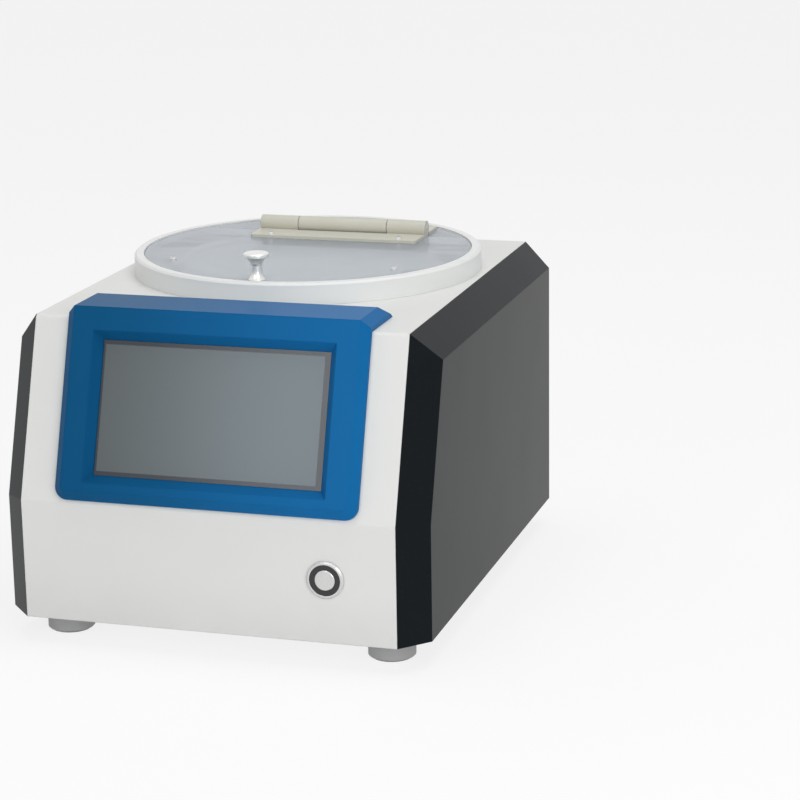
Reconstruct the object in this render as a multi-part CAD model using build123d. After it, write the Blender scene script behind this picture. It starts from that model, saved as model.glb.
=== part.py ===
from build123d import *
import math
import os

# A bench spin coater: a folded sheet housing with black side covers, a touch screen in a blue bezel,
# a process bowl under a hinged clear lid, and a motor with a hollow spindle that carries a vacuum chuck.
# X runs to the right, Y back from the top front fold, Z up from the table. Sizes are in millimetres.

# Fits and cutting
CLEAR = 0.4
RUNNING = 0.03
HOSE_FIT = 0.1
OVERCUT = 1.0
NEAR = 0.1
SKIN = 0.01

# Screws
SCREW = 3.0
SCREW_HEAD = 5.6
SCREW_HEAD_HEIGHT = 2.2
LID_SCREW_HEAD = 1.4
PILOT_EXTRA = 2.0
COLLAR_SCREW_BITE = 5.0
COVER_SCREW_BITE = 7.0
PANEL_SCREW_END = 2.0
LEAF_SCREW_SHORT = 0.5

# Housing
BODY_WIDTH = 260.0
BODY_HEIGHT = 200.0
FRONT_REACH = 39.0
KINK_HEIGHT = 82.0
BEZEL_TO_COLLAR = 14.6
COLLAR_TO_REAR = 0.6
SHEET = 2.0
BEND = 3.0
TRAY_WALL = 14.0
REAR_FLANGE = 14.0
PANEL_SCREW_INSET = 22.0

# Vents
TRAY_VENTS = 9
TRAY_VENT_WIDTH = 68.0
TRAY_VENT_TALL = 4.0
TRAY_VENT_PITCH = 11.0
TRAY_VENT_MIDDLE = 66.0
REAR_VENTS = 8
REAR_VENT_WIDTH = 50.0
REAR_VENT_TALL = 4.0
REAR_VENT_PITCH = 9.0
REAR_VENT_INSET = 52.0
REAR_VENT_TOP = 40.0

# Side covers
COVER_THICKNESS = 18.0
COVER_BEVEL = 19.4
COVER_WALL = 3.0
COVER_SLANT_WALL = 4.2
COVER_BOSS = 9.0
COVER_BOSS_FRONT = 10.0
COVER_BOSS_REAR = 24.0
COVER_BOSS_LOW = 24.0
COVER_BOSS_BELOW_SLOPE = 60.0
COVER_BOSS_BELOW_TOP = 40.0

# Feet
FOOT_HEIGHT = 18.6
FOOT_DIAMETER = 32.0
FOOT_SIDE_INSET = 15.0
FOOT_FRONT_INSET = 38.0
FOOT_REAR_INSET = 39.0
FOOT_CHAMFER = 0.8
PAD_HEIGHT = 2.4
PAD_RIM = 2.0
PAD_RECESS = 1.6
FOOT_SCREW = 4.0
FOOT_SCREW_HEAD = 8.0
FOOT_SCREW_HEAD_HEIGHT = 3.0
FOOT_SCREW_BITE = 7.0

# Screen
SCREEN_WIDTH = 154.08
SCREEN_HEIGHT = 85.92
SCREEN_TOP = 16.5
GLASS_BORDER = 6.0
GLASS_THICKNESS = 2.0
GLASS_PROUD = 1.0
BEZEL_SIDE = 27.96
BEZEL_FOOT = 19.58
BEZEL_PROUD = 9.0
BEZEL_TOP_DEPTH = 45.0
BEZEL_TOP_SLOPE = 13.0
BEZEL_CHAMFER = 6.0
BEZEL_CORNER = 9.0
BEZEL_WALL = 3.0
POCKET_SIDE = 10.0
POCKET_FRONT = 4.0
POCKET_REAR = 12.0
WINDOW_MARGIN = 0.5
WINDOW_SPLAY = 7.0
MODULE_INSET = 1.0
MODULE_DEPTH = 8.0
MODULE_PILLAR = 5.0
MODULE_PILLAR_LENGTH = 6.0
MODULE_PILLAR_INSET = 6.0
MODULE_BOARD = 1.6
MODULE_BOARD_SIDE = 17.04
MODULE_BOARD_END = 7.96

# Push button
BUTTON_INSET = 47.5
BUTTON_ABOVE_MIDDLE = 2.6
BUTTON_BARREL = 21.8
BUTTON_BARREL_LENGTH = 26.0
BUTTON_RIM = 1.8
BUTTON_RIM_CHAMFER = 1.0
BUTTON_FLANGE_PROUD = 2.5
BUTTON_WALL = 0.35
BUTTON_RING_DEPTH = 4.0
BUTTON_RING_SUNK = 0.3
BUTTON_CAP = 13.8
BUTTON_CAP_PROUD = 0.4
BUTTON_CAP_HEIGHT = 6.0
BUTTON_CAP_CHAMFER = 0.5
BUTTON_STOP = 12.0
BUTTON_STEM = 5.0
BUTTON_STEM_LENGTH = 10.0
BUTTON_TRAVEL = 1.6
BUTTON_NUT_RIM = 2.6
BUTTON_NUT_HEIGHT = 4.0
SPRING_DIAMETER = 10.8
SPRING_WIRE = 1.2

# Process bowl, about the spin axis
BOWL_RADIUS = 93.0
BOWL_WALL = 3.0
BOWL_DEPTH = 66.0
BOWL_FALL = 8.0
BOWL_STEP = 6.0
BOWL_LIP = 4.0
BOWL_LIP_WALL = 1.4
BOWL_RIM = 11.0
BOWL_GAP = 1.0
BOWL_FLANGE = 3.0
GUTTER_EDGE = 4.0
HUB_GAP = 2.0
HUB_TO_NOSE = 1.5
GASKET_INNER = 2.0
GASKET_OUTER = 1.0
DRAIN_BORE = 16.0
DRAIN_EDGE = 3.0
DRAIN_WALL = 2.5
DRAIN_FLANGE = 3.0
DRAIN_FLANGE_RIM = 3.0
DRAIN_BEND_EXTRA = 3.0
DRAIN_DROP = 38.0
DRAIN_REACH = 16.0
DRAIN_SPIGOT = 20.0
DRAIN_COLLAR = 3.0
DRAIN_COLLAR_RIM = 5.0

# Collar and lid
LID_BEYOND_FLANGE = 13.2
LID_THICKNESS = 5.0
LID_TOP = 14.1
LID_CHAMFER = 0.5
COLLAR_RIM = 6.8
COLLAR_LIP = 0.7
COLLAR_CHAMFER = 1.5
LEDGE = 3.0
OPENING_OVERHANG = 3.0
OPENING_CHORD = 49.5
KNOB_TOP = 17.4
KNOB_WAIST = 7.3
KNOB_BASE = 12.5
KNOB_HEIGHT = 18.4
KNOB_FOOT = 2.0
KNOB_RIM = 2.5
KNOB_CHAMFER = 0.8
KNOB_INSET = 7.9
KNOB_SCREW_BITE = 8.0
CATCH_X = 81.5
CATCH_FORWARD = 57.0
MAGNET_DIAMETER = 8.0
MAGNET_HEIGHT = 2.0

# Hinge, about its own pin
HINGE_X = 8.0
HINGE_Y = 60.0
HINGE_LENGTH = 127.0
KNUCKLE_END = 29.4
BARREL = 11.5
LEAF = 2.2
LEAF_REACH = 30.0
LEAF_GAP = 1.0
LEAF_CORNER = 3.0
HINGE_PIN = 5.0
LEAF_SCREW_END = 14.5
LEAF_SCREW_EDGE = 6.0

# Chuck and spindle
CHUCK_DIAMETER = 60.0
CHUCK_PLATE = 8.0
CHUCK_BELOW_TOP = 13.0
CHUCK_HUB = 26.0
CHUCK_HUB_LENGTH = 13.0
CHUCK_CHAMFER = 0.5
CHUCK_TAPER = 4.0
CHUCK_NECK = 2.0
GROOVE = 1.2
GROOVE_EDGE = 6.0
GROOVE_RINGS = 3
VACUUM_BORE = 3.2
SPINDLE_NOSE = 10.0
NOSE_SHORT = 0.3
SPINDLE_STEP = 1.5
SPINDLE_JOURNAL = 12.0
SPINDLE_TAIL = 8.0
TAIL_STEP = 4.0
TAIL_DEPTH = 14.0
O_RING_DEPTH = 1.2
O_RING_WIDTH = 1.8
O_RING_BELOW = 2.2
DRIVE_PIN = 2.5
DRIVE_PIN_RISE = 2.0
DRIVE_PIN_SHORT = 2.0
DRIVE_SLOT_GAP = 0.25

# Motor
MOTOR_DIAMETER = 66.0
MOTOR_WALL = 4.0
MOTOR_TO_UNION = 16.0
NOSE_WALL = 3.0
NOSE_BELOW_HUB = 4.0
SHAFT_GAP = 2.0
BEARING_DIAMETER = 24.0
BEARING_HEIGHT = 8.0
COIL_SPACE_BELOW = 4.0
COIL_SPACE_ABOVE = 8.0
STATOR_SLOTS = 12
STATOR_SLOT_WIDTH = 4.0
STATOR_SLOT_SHARE = 0.55
ROTOR_RADIUS = 19.5
ROTOR_SHORT = 1.0
AIR_GAP = 0.8
PLATE_BELOW_BOWL = 3.0
PLATE_THICKNESS = 6.0
PLATE_WIDTH = 190.0
PLATE_TO_DRAIN = 6.5
PLATE_CORNER = 8.0
MOTOR_SCREW_SPACING = 36.0
MOTOR_SCREW_SHORT = 3.0
STANDOFF_DIAMETER = 12.0
STANDOFF_INSET = 11.0

# Vacuum line
UNION_WIDTH = 34.0
UNION_HEIGHT = 30.0
UNION_CORNER = 4.0
VACUUM_HEIGHT = 22.0
HOSE_DIAMETER = 6.0
HOSE_WALL = 1.0
HOSE_END = 0.5
BARB_LENGTH = 8.0
VALVE_X = 58.0
VALVE_WIDTH = 26.0
VALVE_LENGTH = 40.0
VALVE_ABOVE_LINE = 8.0
COIL_HEIGHT = 26.0
COIL_SIDE = 2.0
COIL_END = 6.0
COIL_CORNER = 3.0
PORT_TUBE = 8.0
PORT_WALL = 3.5
PORT_NECK = 2.0
PORT_NUT = 8.0
PORT_REACH = 13.0
PORT_DEPTH = 14.0
PORT_COLLET = 3.0
PORT_COLLET_STEP = 1.0

# Electrics
INLET_HEIGHT = 46.0
INLET_WIDTH = 30.0
INLET_TALL = 22.5
INLET_EAR = 8.0
INLET_CORNER = 3.0
INLET_PROUD = 3.0
INLET_BODY_INSET = 2.0
INLET_BACK = 3.0
INLET_GAP = 0.5
SOCKET_DEPTH = 16.0
SOCKET_WALL = 2.0
SOCKET_CHAMFER = 4.0
PIN_WIDTH = 2.0
PIN_TALL = 4.0
PIN_LENGTH = 13.0
PIN_TERMINAL = 8.0
PIN_SPREAD = 7.0
PIN_STAGGER = 2.0
SUPPLY_WIDTH = 58.0
SUPPLY_HEIGHT = 38.0
SUPPLY_SIDE_GAP = 4.0
SUPPLY_FOOT_GAP = 14.0
SUPPLY_VENTS = 6
SUPPLY_VENT_PITCH = 14.0
SUPPLY_VENT_TALL = 4.0
SUPPLY_VENT_DEPTH = 1.5
SUPPLY_VENT_EDGE = 10.0
SUPPLY_VENT_START = 16.0
BOARD_WIDTH = 72.0
BOARD_SIDE_GAP = 8.0
BOARD_REAR_GAP = 3.0
BOARD_FOOT_GAP = 1.0
BOARD_RAISED = 8.0
BOARD_THICKNESS = 1.6
BOARD_PILLAR = 6.0
BOARD_PILLAR_INSET = 6.0

# Components on the control board: left and front side from the board's corner, width, depth and height
DRIVER_CHIP = (14.0, 20.0, 24.0, 24.0, 3.0)
CAPACITOR_BANK = (44.0, 20.0, 20.0, 40.0, 14.0)
RELAY = (12.0, 66.0, 20.0, 32.0, 9.0)
TERMINAL_ROW = (42.0, 84.0, 24.0, 8.0, 10.0)

# Outlines that follow from the sizes above
BOWL_FLANGE_RADIUS = BOWL_RADIUS + BOWL_RIM
OPENING_RADIUS = BOWL_RADIUS - OPENING_OVERHANG
LID_RADIUS = BOWL_FLANGE_RADIUS + LID_BEYOND_FLANGE
COLLAR_RADIUS = LID_RADIUS + CLEAR + COLLAR_RIM
AXIS_Y = BEZEL_TOP_DEPTH + BEZEL_TO_COLLAR + COLLAR_RADIUS
TOP_DEPTH = AXIS_Y + COLLAR_RADIUS + COLLAR_TO_REAR
BEZEL_WIDTH = SCREEN_WIDTH + 2 * BEZEL_SIDE
BEZEL_LENGTH = SCREEN_TOP + SCREEN_HEIGHT + BEZEL_FOOT
SCREEN_MIDDLE = SCREEN_TOP + SCREEN_HEIGHT / 2
SLOPE_RISE = BODY_HEIGHT - KINK_HEIGHT
SLOPE = math.atan2(FRONT_REACH, SLOPE_RISE)
HALF = BODY_WIDTH / 2
FLANGE_MIDDLE = HALF - REAR_FLANGE / 2

# Heights
FLOOR_Z = FOOT_HEIGHT
TRAY_Z = FLOOR_Z + SHEET
TOP_Z = FLOOR_Z + BODY_HEIGHT
KINK_Z = FLOOR_Z + KINK_HEIGHT
LID_TOP_Z = TOP_Z + LID_TOP
LEDGE_TOP_Z = LID_TOP_Z - LID_THICKNESS
LEDGE_LOW_Z = LEDGE_TOP_Z - LEDGE
PIN_Z = LID_TOP_Z + BARREL / 2
CHUCK_TOP_Z = TOP_Z - CHUCK_BELOW_TOP
CHUCK_UNDER_Z = CHUCK_TOP_Z - CHUCK_PLATE
CHUCK_SEAT_Z = CHUCK_UNDER_Z - CHUCK_HUB_LENGTH
SPINDLE_TOP_Z = CHUCK_UNDER_Z - NOSE_SHORT
BOWL_FLOOR_Z = TOP_Z - BOWL_DEPTH
HUB_TOP_Z = CHUCK_SEAT_Z - HUB_GAP
NOSE_TOP_Z = HUB_TOP_Z - NOSE_BELOW_HUB
PLATE_TOP_Z = BOWL_FLOOR_Z - BOWL_WALL - PLATE_BELOW_BOWL
MOTOR_TOP_Z = PLATE_TOP_Z - PLATE_THICKNESS
UNION_TOP_Z = TRAY_Z + UNION_HEIGHT
MOTOR_BOTTOM_Z = UNION_TOP_Z + MOTOR_TO_UNION
LINE_Z = FLOOR_Z + VACUUM_HEIGHT
BUTTON_Z = (FLOOR_Z + KINK_Z) / 2 + BUTTON_ABOVE_MIDDLE
INLET_Z = FLOOR_Z + INLET_HEIGHT
DRAIN_Z = BOWL_FLOOR_Z - DRAIN_DROP

# Places across and along
BUTTON_X = HALF - BUTTON_INSET
VENT_X = HALF - REAR_VENT_INSET
INLET_X = -VENT_X
FOOT_X = HALF - FOOT_SIDE_INSET
FOOT_FRONT_Y = FOOT_FRONT_INSET - FRONT_REACH
FOOT_REAR_Y = TOP_DEPTH - FOOT_REAR_INSET
KNOB_Y = AXIS_Y - LID_RADIUS + KNOB_INSET
CATCH_Y = AXIS_Y - CATCH_FORWARD
PIN_Y = AXIS_Y + HINGE_Y
HINGE_HALF = HINGE_LENGTH / 2
DRAIN_Y = AXIS_Y + BOWL_RADIUS - DRAIN_BORE / 2 - DRAIN_EDGE
PORT_INNER_Y = TOP_DEPTH - SHEET - PORT_NUT
BEZEL_FRONT = FRONT_REACH + BEZEL_PROUD * math.cos(SLOPE)
MIDDLE_Y = (TOP_DEPTH + DRAIN_REACH - BEZEL_FRONT) / 2

# Diameters and lengths that follow from their neighbours
PAD_DIAMETER = FOOT_DIAMETER - 2 * PAD_RIM
BUTTON_FLANGE = BUTTON_BARREL + 2 * BUTTON_RIM
BUTTON_RING = BUTTON_BARREL - 2 * BUTTON_WALL - CLEAR / 2
SPINDLE_SHOULDER = SPINDLE_JOURNAL + 2 * SPINDLE_STEP
MOTOR_NOSE = BEARING_DIAMETER + 2 * NOSE_WALL
HUB_BORE = MOTOR_NOSE / 2 + HUB_TO_NOSE
MOTOR_TOP_WALL = 2 * MOTOR_WALL
STATOR_LOW_Z = MOTOR_BOTTOM_Z + MOTOR_WALL + BEARING_HEIGHT + COIL_SPACE_BELOW
STATOR_TOP_Z = MOTOR_TOP_Z - MOTOR_TOP_WALL - COIL_SPACE_ABOVE
STATOR_BORE = 2 * (ROTOR_RADIUS + AIR_GAP)
PLATE_HALF_LENGTH = DRAIN_Y - AXIS_Y - DRAIN_BORE / 2 - DRAIN_WALL - PLATE_TO_DRAIN
PORT_DIAMETER = PORT_TUBE + 2 * PORT_WALL
BARB_DIAMETER = HOSE_DIAMETER - 2 * HOSE_WALL

# Frames and repeated places
SCREEN_PLANE = Plane(origin=(0, 0, TOP_Z), x_dir=(1, 0, 0), z_dir=(0, -math.cos(SLOPE), math.sin(SLOPE)))
BUTTON_PLACE = Pos(BUTTON_X, -FRONT_REACH, BUTTON_Z) * Rot(90, 0, 0)
LOW = (Align.CENTER, Align.CENTER, Align.MIN)
FEET = {
    "foot_front_left": (-FOOT_X, FOOT_FRONT_Y),
    "foot_front_right": (FOOT_X, FOOT_FRONT_Y),
    "foot_rear_left": (-FOOT_X, FOOT_REAR_Y),
    "foot_rear_right": (FOOT_X, FOOT_REAR_Y),
}
COVER_BOSS_PLACES = (
    (COVER_BOSS_FRONT, FLOOR_Z + COVER_BOSS_LOW),
    (COVER_BOSS_FRONT, TOP_Z - COVER_BOSS_BELOW_SLOPE),
    (TOP_DEPTH - COVER_BOSS_REAR, FLOOR_Z + COVER_BOSS_LOW),
    (TOP_DEPTH - COVER_BOSS_REAR, TOP_Z - COVER_BOSS_BELOW_TOP),
)
PANEL_SCREW_HEIGHTS = (FLOOR_Z + PANEL_SCREW_INSET, (FLOOR_Z + TOP_Z) / 2, TOP_Z - PANEL_SCREW_INSET)
PANEL_SCREW_PLACES = [(x, z) for x in (-FLANGE_MIDDLE, FLANGE_MIDDLE) for z in PANEL_SCREW_HEIGHTS]
CATCH_PLACES = ((-CATCH_X, CATCH_Y), (CATCH_X, CATCH_Y))
PIN_PLACES = ((-PIN_SPREAD, -PIN_STAGGER), (0, PIN_STAGGER), (PIN_SPREAD, -PIN_STAGGER))

parts = {}


def around(radius, angles):
    """Places on a circle about the spin axis."""
    return [
        (radius * math.cos(math.radians(angle)), AXIS_Y + radius * math.sin(math.radians(angle)))
        for angle in angles
    ]


def spread(middle, pitch, count):
    """Evenly spaced places about a middle."""
    return [middle + pitch * (i - (count - 1) / 2) for i in range(count)]


COLLAR_SCREW_PLACES = around((BOWL_FLANGE_RADIUS + COLLAR_RADIUS) / 2, range(30, 390, 60))
MOTOR_SCREW_PLACES = around(MOTOR_SCREW_SPACING / math.sqrt(2), range(45, 405, 90))
STANDOFF_PLACES = [
    (x * (PLATE_WIDTH / 2 - STANDOFF_INSET), AXIS_Y + y * (PLATE_HALF_LENGTH - STANDOFF_INSET))
    for x in (-1, 1) for y in (-1, 1)
]


def block(x0, x1, y0, y1, z0, z1):
    return Pos((x0 + x1) / 2, (y0 + y1) / 2, (z0 + z1) / 2) * Box(x1 - x0, y1 - y0, z1 - z0)


def rod(diameter, z0, z1, x=0.0, y=0.0):
    return Pos(x, y, z0) * Cylinder(diameter / 2, z1 - z0, align=LOW)


def rod_back(diameter, y0, y1, x, z):
    """A cylinder that runs towards the rear."""
    return Pos(x, y0, z) * Rot(-90, 0, 0) * Cylinder(diameter / 2, y1 - y0, align=LOW)


def rod_right(diameter, x0, x1, y, z):
    """A cylinder that runs to the right."""
    return Pos(x0, y, z) * Rot(0, 90, 0) * Cylinder(diameter / 2, x1 - x0, align=LOW)


def sleeve(inner, outer, z0, z1):
    """A plain ring about the spin axis, from its two diameters."""
    return rod(outer, z0, z1, y=AXIS_Y) - rod(inner, z0 - OVERCUT, z1 + OVERCUT, y=AXIS_Y)


def turned(outline, y=AXIS_Y):
    """A solid of revolution about a vertical line, from (radius, height) points."""
    return Pos(0, y, 0) * revolve(make_face(Plane.XZ * Polyline(*outline, close=True)), Axis.Z)


def group(solids):
    return Compound(children=list(solids))


def screw(length, diameter=SCREW, head=SCREW_HEAD, head_height=SCREW_HEAD_HEIGHT):
    """A pan head screw that stands on z = 0 with its shank below."""
    top_edge = rod(head, 0, head_height).edges().sort_by(Axis.Z)[-1:]
    return chamfer(top_edge, head_height / 4) + rod(diameter, -length, 0)


def lid_screw(length):
    return screw(length, head_height=LID_SCREW_HEAD)


def housing_face(x, inset, floor, back):
    """The side outline of the housing, with its front, slope and top set in by the same amount."""
    front = inset - FRONT_REACH
    shift = inset / math.cos(SLOPE)
    kink = TOP_Z + (front - shift) * SLOPE_RISE / FRONT_REACH
    top = TOP_Z - inset
    fold = shift - inset * FRONT_REACH / SLOPE_RISE
    outline = [(front, floor), (front, kink), (fold, top), (back, top), (back, floor)]
    return Plane.YZ.offset(x) * make_face(Polyline(*outline, close=True))


def housing_prism(x0, x1, inset, floor, back):
    return extrude(housing_face(x0, inset, floor, back), x1 - x0)


# Casing
def front_top_shell():
    """Lower front, screen slope and top, folded from one sheet."""
    sheet = housing_prism(-HALF, HALF, 0, FLOOR_Z, TOP_DEPTH)
    folds = [e for e in sheet.edges().filter_by(Axis.X) if e.center().Y < NEAR and e.center().Z > KINK_Z - NEAR]
    sheet = fillet(folds, BEND)
    sheet -= housing_prism(-HALF - OVERCUT, HALF + OVERCUT, SHEET, FLOOR_Z - OVERCUT, TOP_DEPTH + OVERCUT)
    border = 2 * (GLASS_BORDER + WINDOW_MARGIN)
    sheet -= screen_box(SCREEN_WIDTH + border, SCREEN_HEIGHT + border, -2 * SHEET, 2 * SHEET)
    sheet -= rod_back(BUTTON_BARREL + CLEAR, -FRONT_REACH - OVERCUT, 2 * SHEET - FRONT_REACH, BUTTON_X, BUTTON_Z)
    sheet -= rod(2 * (BOWL_RADIUS + BOWL_WALL + BOWL_GAP), TOP_Z - 2 * SHEET, TOP_Z + OVERCUT, y=AXIS_Y)
    for x, y in COLLAR_SCREW_PLACES:
        sheet -= rod(SCREW + CLEAR, TOP_Z - 2 * SHEET, TOP_Z + OVERCUT, x, y)
    return sheet


def base_tray():
    """Floor with upturned edges and vent slots; it carries the feet and everything inside."""
    side = HALF - SHEET
    front = SHEET - FRONT_REACH
    back = TOP_DEPTH - 2 * SHEET
    tray = block(-side, side, front, back, FLOOR_Z, FLOOR_Z + TRAY_WALL)
    tray -= block(
        SHEET - side, side - SHEET, front + SHEET, back - SHEET, TRAY_Z, FLOOR_Z + TRAY_WALL + OVERCUT
    )
    for x, y in FEET.values():
        tray -= rod(FOOT_SCREW + CLEAR, FLOOR_Z - OVERCUT, TRAY_Z + OVERCUT, x, y)
    wide, tall = TRAY_VENT_WIDTH / 2, TRAY_VENT_TALL / 2
    for y in spread(TRAY_VENT_MIDDLE, TRAY_VENT_PITCH, TRAY_VENTS):
        tray -= block(-wide, wide, y - tall, y + tall, FLOOR_Z - OVERCUT, TRAY_Z + OVERCUT)
    return tray


def side_panel(side):
    """A flat side of the housing with a flange at the rear that takes the rear panel's screws."""
    inner = HALF - SHEET
    back = TOP_DEPTH - SHEET
    panel = housing_prism(inner, HALF, SHEET, FLOOR_Z, back)
    panel += block(HALF - REAR_FLANGE, HALF - SHEET / 2, back - SHEET, back, FLOOR_Z, TOP_Z - SHEET)
    for y, z in COVER_BOSS_PLACES:
        panel -= rod_right(SCREW + CLEAR, inner - OVERCUT, HALF + OVERCUT, y, z)
    for z in PANEL_SCREW_HEIGHTS:
        panel -= rod_back(SCREW, back - 2 * SHEET, TOP_DEPTH, FLANGE_MIDDLE, z)
    return panel if side > 0 else mirror(panel, Plane.YZ)


def rear_panel():
    """The flat back, with the vents and the holes for the inlet, the vacuum port and the drain."""
    inner = TOP_DEPTH - SHEET
    cut = (inner - OVERCUT, TOP_DEPTH + OVERCUT)
    panel = block(-HALF, HALF, inner, TOP_DEPTH, FLOOR_Z, TOP_Z - SHEET)
    for x, z in PANEL_SCREW_PLACES:
        panel -= rod_back(SCREW + CLEAR, *cut, x, z)
    middle = TOP_Z - REAR_VENT_TOP - REAR_VENT_PITCH * (REAR_VENTS - 1) / 2
    slot = extrude(SlotOverall(REAR_VENT_WIDTH, REAR_VENT_TALL), SHEET + OVERCUT, both=True)
    for x in (-VENT_X, VENT_X):
        for z in spread(middle, REAR_VENT_PITCH, REAR_VENTS):
            panel -= Pos(x, inner, z) * Rot(90, 0, 0) * slot
    wide = INLET_WIDTH / 2 - INLET_BODY_INSET + INLET_GAP
    tall = INLET_TALL / 2 - INLET_BODY_INSET + INLET_GAP
    panel -= block(INLET_X - wide, INLET_X + wide, *cut, INLET_Z - tall, INLET_Z + tall)
    panel -= rod_back(PORT_DIAMETER - 2 * PORT_NECK, *cut, VALVE_X, LINE_Z)
    return panel - rod_back(DRAIN_BORE + 2 * (DRAIN_WALL + CLEAR), *cut, 0, DRAIN_Z)


def side_cover(side):
    """A moulded cover with a bevelled front and top, hollow behind, on screw bosses."""
    outer = HALF + COVER_THICKNESS
    floor, back = FLOOR_Z + COVER_WALL, TOP_DEPTH - COVER_WALL
    steepness = COVER_BEVEL / COVER_THICKNESS
    cover = loft([
        housing_face(HALF, 0, FLOOR_Z, TOP_DEPTH),
        housing_face(outer, COVER_BEVEL, FLOOR_Z, TOP_DEPTH),
    ], ruled=True)
    cover -= loft([
        housing_face(HALF - OVERCUT, COVER_SLANT_WALL - steepness * OVERCUT, floor, back),
        housing_face(outer - COVER_WALL, COVER_SLANT_WALL + COVER_BEVEL - steepness * COVER_WALL, floor, back),
    ], ruled=True)
    for y, z in COVER_BOSS_PLACES:
        cover += rod_right(COVER_BOSS, HALF, outer - COVER_WALL / 2, y, z)
        cover -= rod_right(SCREW, HALF - OVERCUT, outer - COVER_WALL - PILOT_EXTRA, y, z)
    return cover if side > 0 else mirror(cover, Plane.YZ)


def cover_screws():
    head = HALF - SHEET
    right = [
        Pos(head, y, z) * Rot(0, -90, 0) * screw(SHEET + COVER_SCREW_BITE) for y, z in COVER_BOSS_PLACES
    ]
    return group(right + [mirror(s, Plane.YZ) for s in right])


def casing():
    length = 2 * SHEET + PANEL_SCREW_END
    parts["base_tray"] = base_tray()
    parts["front_top_shell"] = front_top_shell()
    parts["side_panel_left"] = side_panel(-1)
    parts["side_panel_right"] = side_panel(1)
    parts["rear_panel"] = rear_panel()
    parts["side_cover_left"] = side_cover(-1)
    parts["side_cover_right"] = side_cover(1)
    parts["cover_screws"] = cover_screws()
    parts["panel_screws"] = group(
        Pos(x, TOP_DEPTH, z) * Rot(-90, 0, 0) * screw(length) for x, z in PANEL_SCREW_PLACES
    )


# Feet
def foot(x, y):
    body = rod(FOOT_DIAMETER, PAD_HEIGHT - PAD_RECESS, FLOOR_Z, x, y)
    body = chamfer(body.edges().filter_by(GeomType.CIRCLE), FOOT_CHAMFER)
    body -= rod(PAD_DIAMETER + CLEAR, 0, PAD_HEIGHT, x, y)
    return body - rod(FOOT_SCREW, FLOOR_Z - FOOT_SCREW_BITE - PILOT_EXTRA, FLOOR_Z + OVERCUT, x, y)


def feet():
    fastener = screw(SHEET + FOOT_SCREW_BITE, FOOT_SCREW, FOOT_SCREW_HEAD, FOOT_SCREW_HEAD_HEIGHT)
    for name, place in FEET.items():
        parts[name] = foot(*place)
    parts["foot_pads"] = group(rod(PAD_DIAMETER, 0, PAD_HEIGHT, x, y) for x, y in FEET.values())
    parts["foot_screws"] = group(Pos(x, y, TRAY_Z) * fastener for x, y in FEET.values())


# Screen
def screen_box(width, height, low, high, splay=0.0):
    """A block on the screen slope, around the display's centre; it may widen outwards by splay each side."""
    lower = Plane.XY.offset(low) * Rectangle(width, height)
    upper = Plane.XY.offset(high) * Rectangle(width + 2 * splay, height + 2 * splay)
    return SCREEN_PLANE * Pos(0, -SCREEN_MIDDLE, 0) * loft([lower, upper], ruled=True)


def screen_bezel():
    """A moulding that lies on the slope and hooks over the top fold, with a splayed window."""
    def on_slope(along, proud):
        return (
            -math.sin(SLOPE) * along - math.cos(SLOPE) * proud,
            TOP_Z - math.cos(SLOPE) * along + math.sin(SLOPE) * proud,
        )

    ridge_y = BEZEL_PROUD * (math.tan(SLOPE) - 1 / math.cos(SLOPE))
    section = Polyline(
        on_slope(BEZEL_LENGTH, 0), on_slope(BEZEL_LENGTH, BEZEL_PROUD), (ridge_y, TOP_Z + BEZEL_PROUD),
        (BEZEL_TOP_DEPTH - BEZEL_TOP_SLOPE, TOP_Z + BEZEL_PROUD), (BEZEL_TOP_DEPTH, TOP_Z), (0, TOP_Z), close=True,
    )
    half = BEZEL_WIDTH / 2
    bezel = extrude(Plane.YZ.offset(-half) * make_face(section), BEZEL_WIDTH)
    y, z = on_slope(BEZEL_LENGTH, BEZEL_PROUD / 2)
    corners = [
        e for e in bezel.edges()
        if abs(e.center().Y - y) < NEAR and abs(e.center().Z - z) < NEAR and abs(e.center().X) > half - NEAR
    ]
    bezel = fillet(corners, BEZEL_CORNER)
    bezel = chamfer(proud_rim(bezel), BEZEL_CHAMFER)
    window = 2 * WINDOW_MARGIN
    bezel -= screen_box(SCREEN_WIDTH + window, SCREEN_HEIGHT + window, -OVERCUT, BEZEL_PROUD + SKIN, WINDOW_SPLAY)
    rebate = 2 * GLASS_BORDER + CLEAR
    bezel -= screen_box(SCREEN_WIDTH + rebate, SCREEN_HEIGHT + rebate, -OVERCUT, GLASS_PROUD)
    return bezel - block(
        POCKET_SIDE - half, half - POCKET_SIDE, POCKET_FRONT, BEZEL_TOP_DEPTH - POCKET_REAR,
        TOP_Z - OVERCUT, TOP_Z + BEZEL_PROUD - BEZEL_WALL,
    )


def proud_rim(bezel):
    """The outer edges of the raised slope face, and those of the top face at both ends."""
    normal = SCREEN_PLANE.z_dir
    level = [f for f in bezel.faces() if (f.normal_at() - normal).length < NEAR]
    slope_face = max(level, key=lambda f: (f.center() - SCREEN_PLANE.origin).dot(normal))
    top_face = bezel.faces().filter_by(Axis.Z).sort_by(Axis.Z)[-1]
    rim = [e for e in slope_face.edges() if e.center().Z < TOP_Z + BEZEL_PROUD - NEAR]
    return rim + [e for e in top_face.edges() if abs(e.center().X) > BEZEL_WIDTH / 2 - NEAR]


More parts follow.
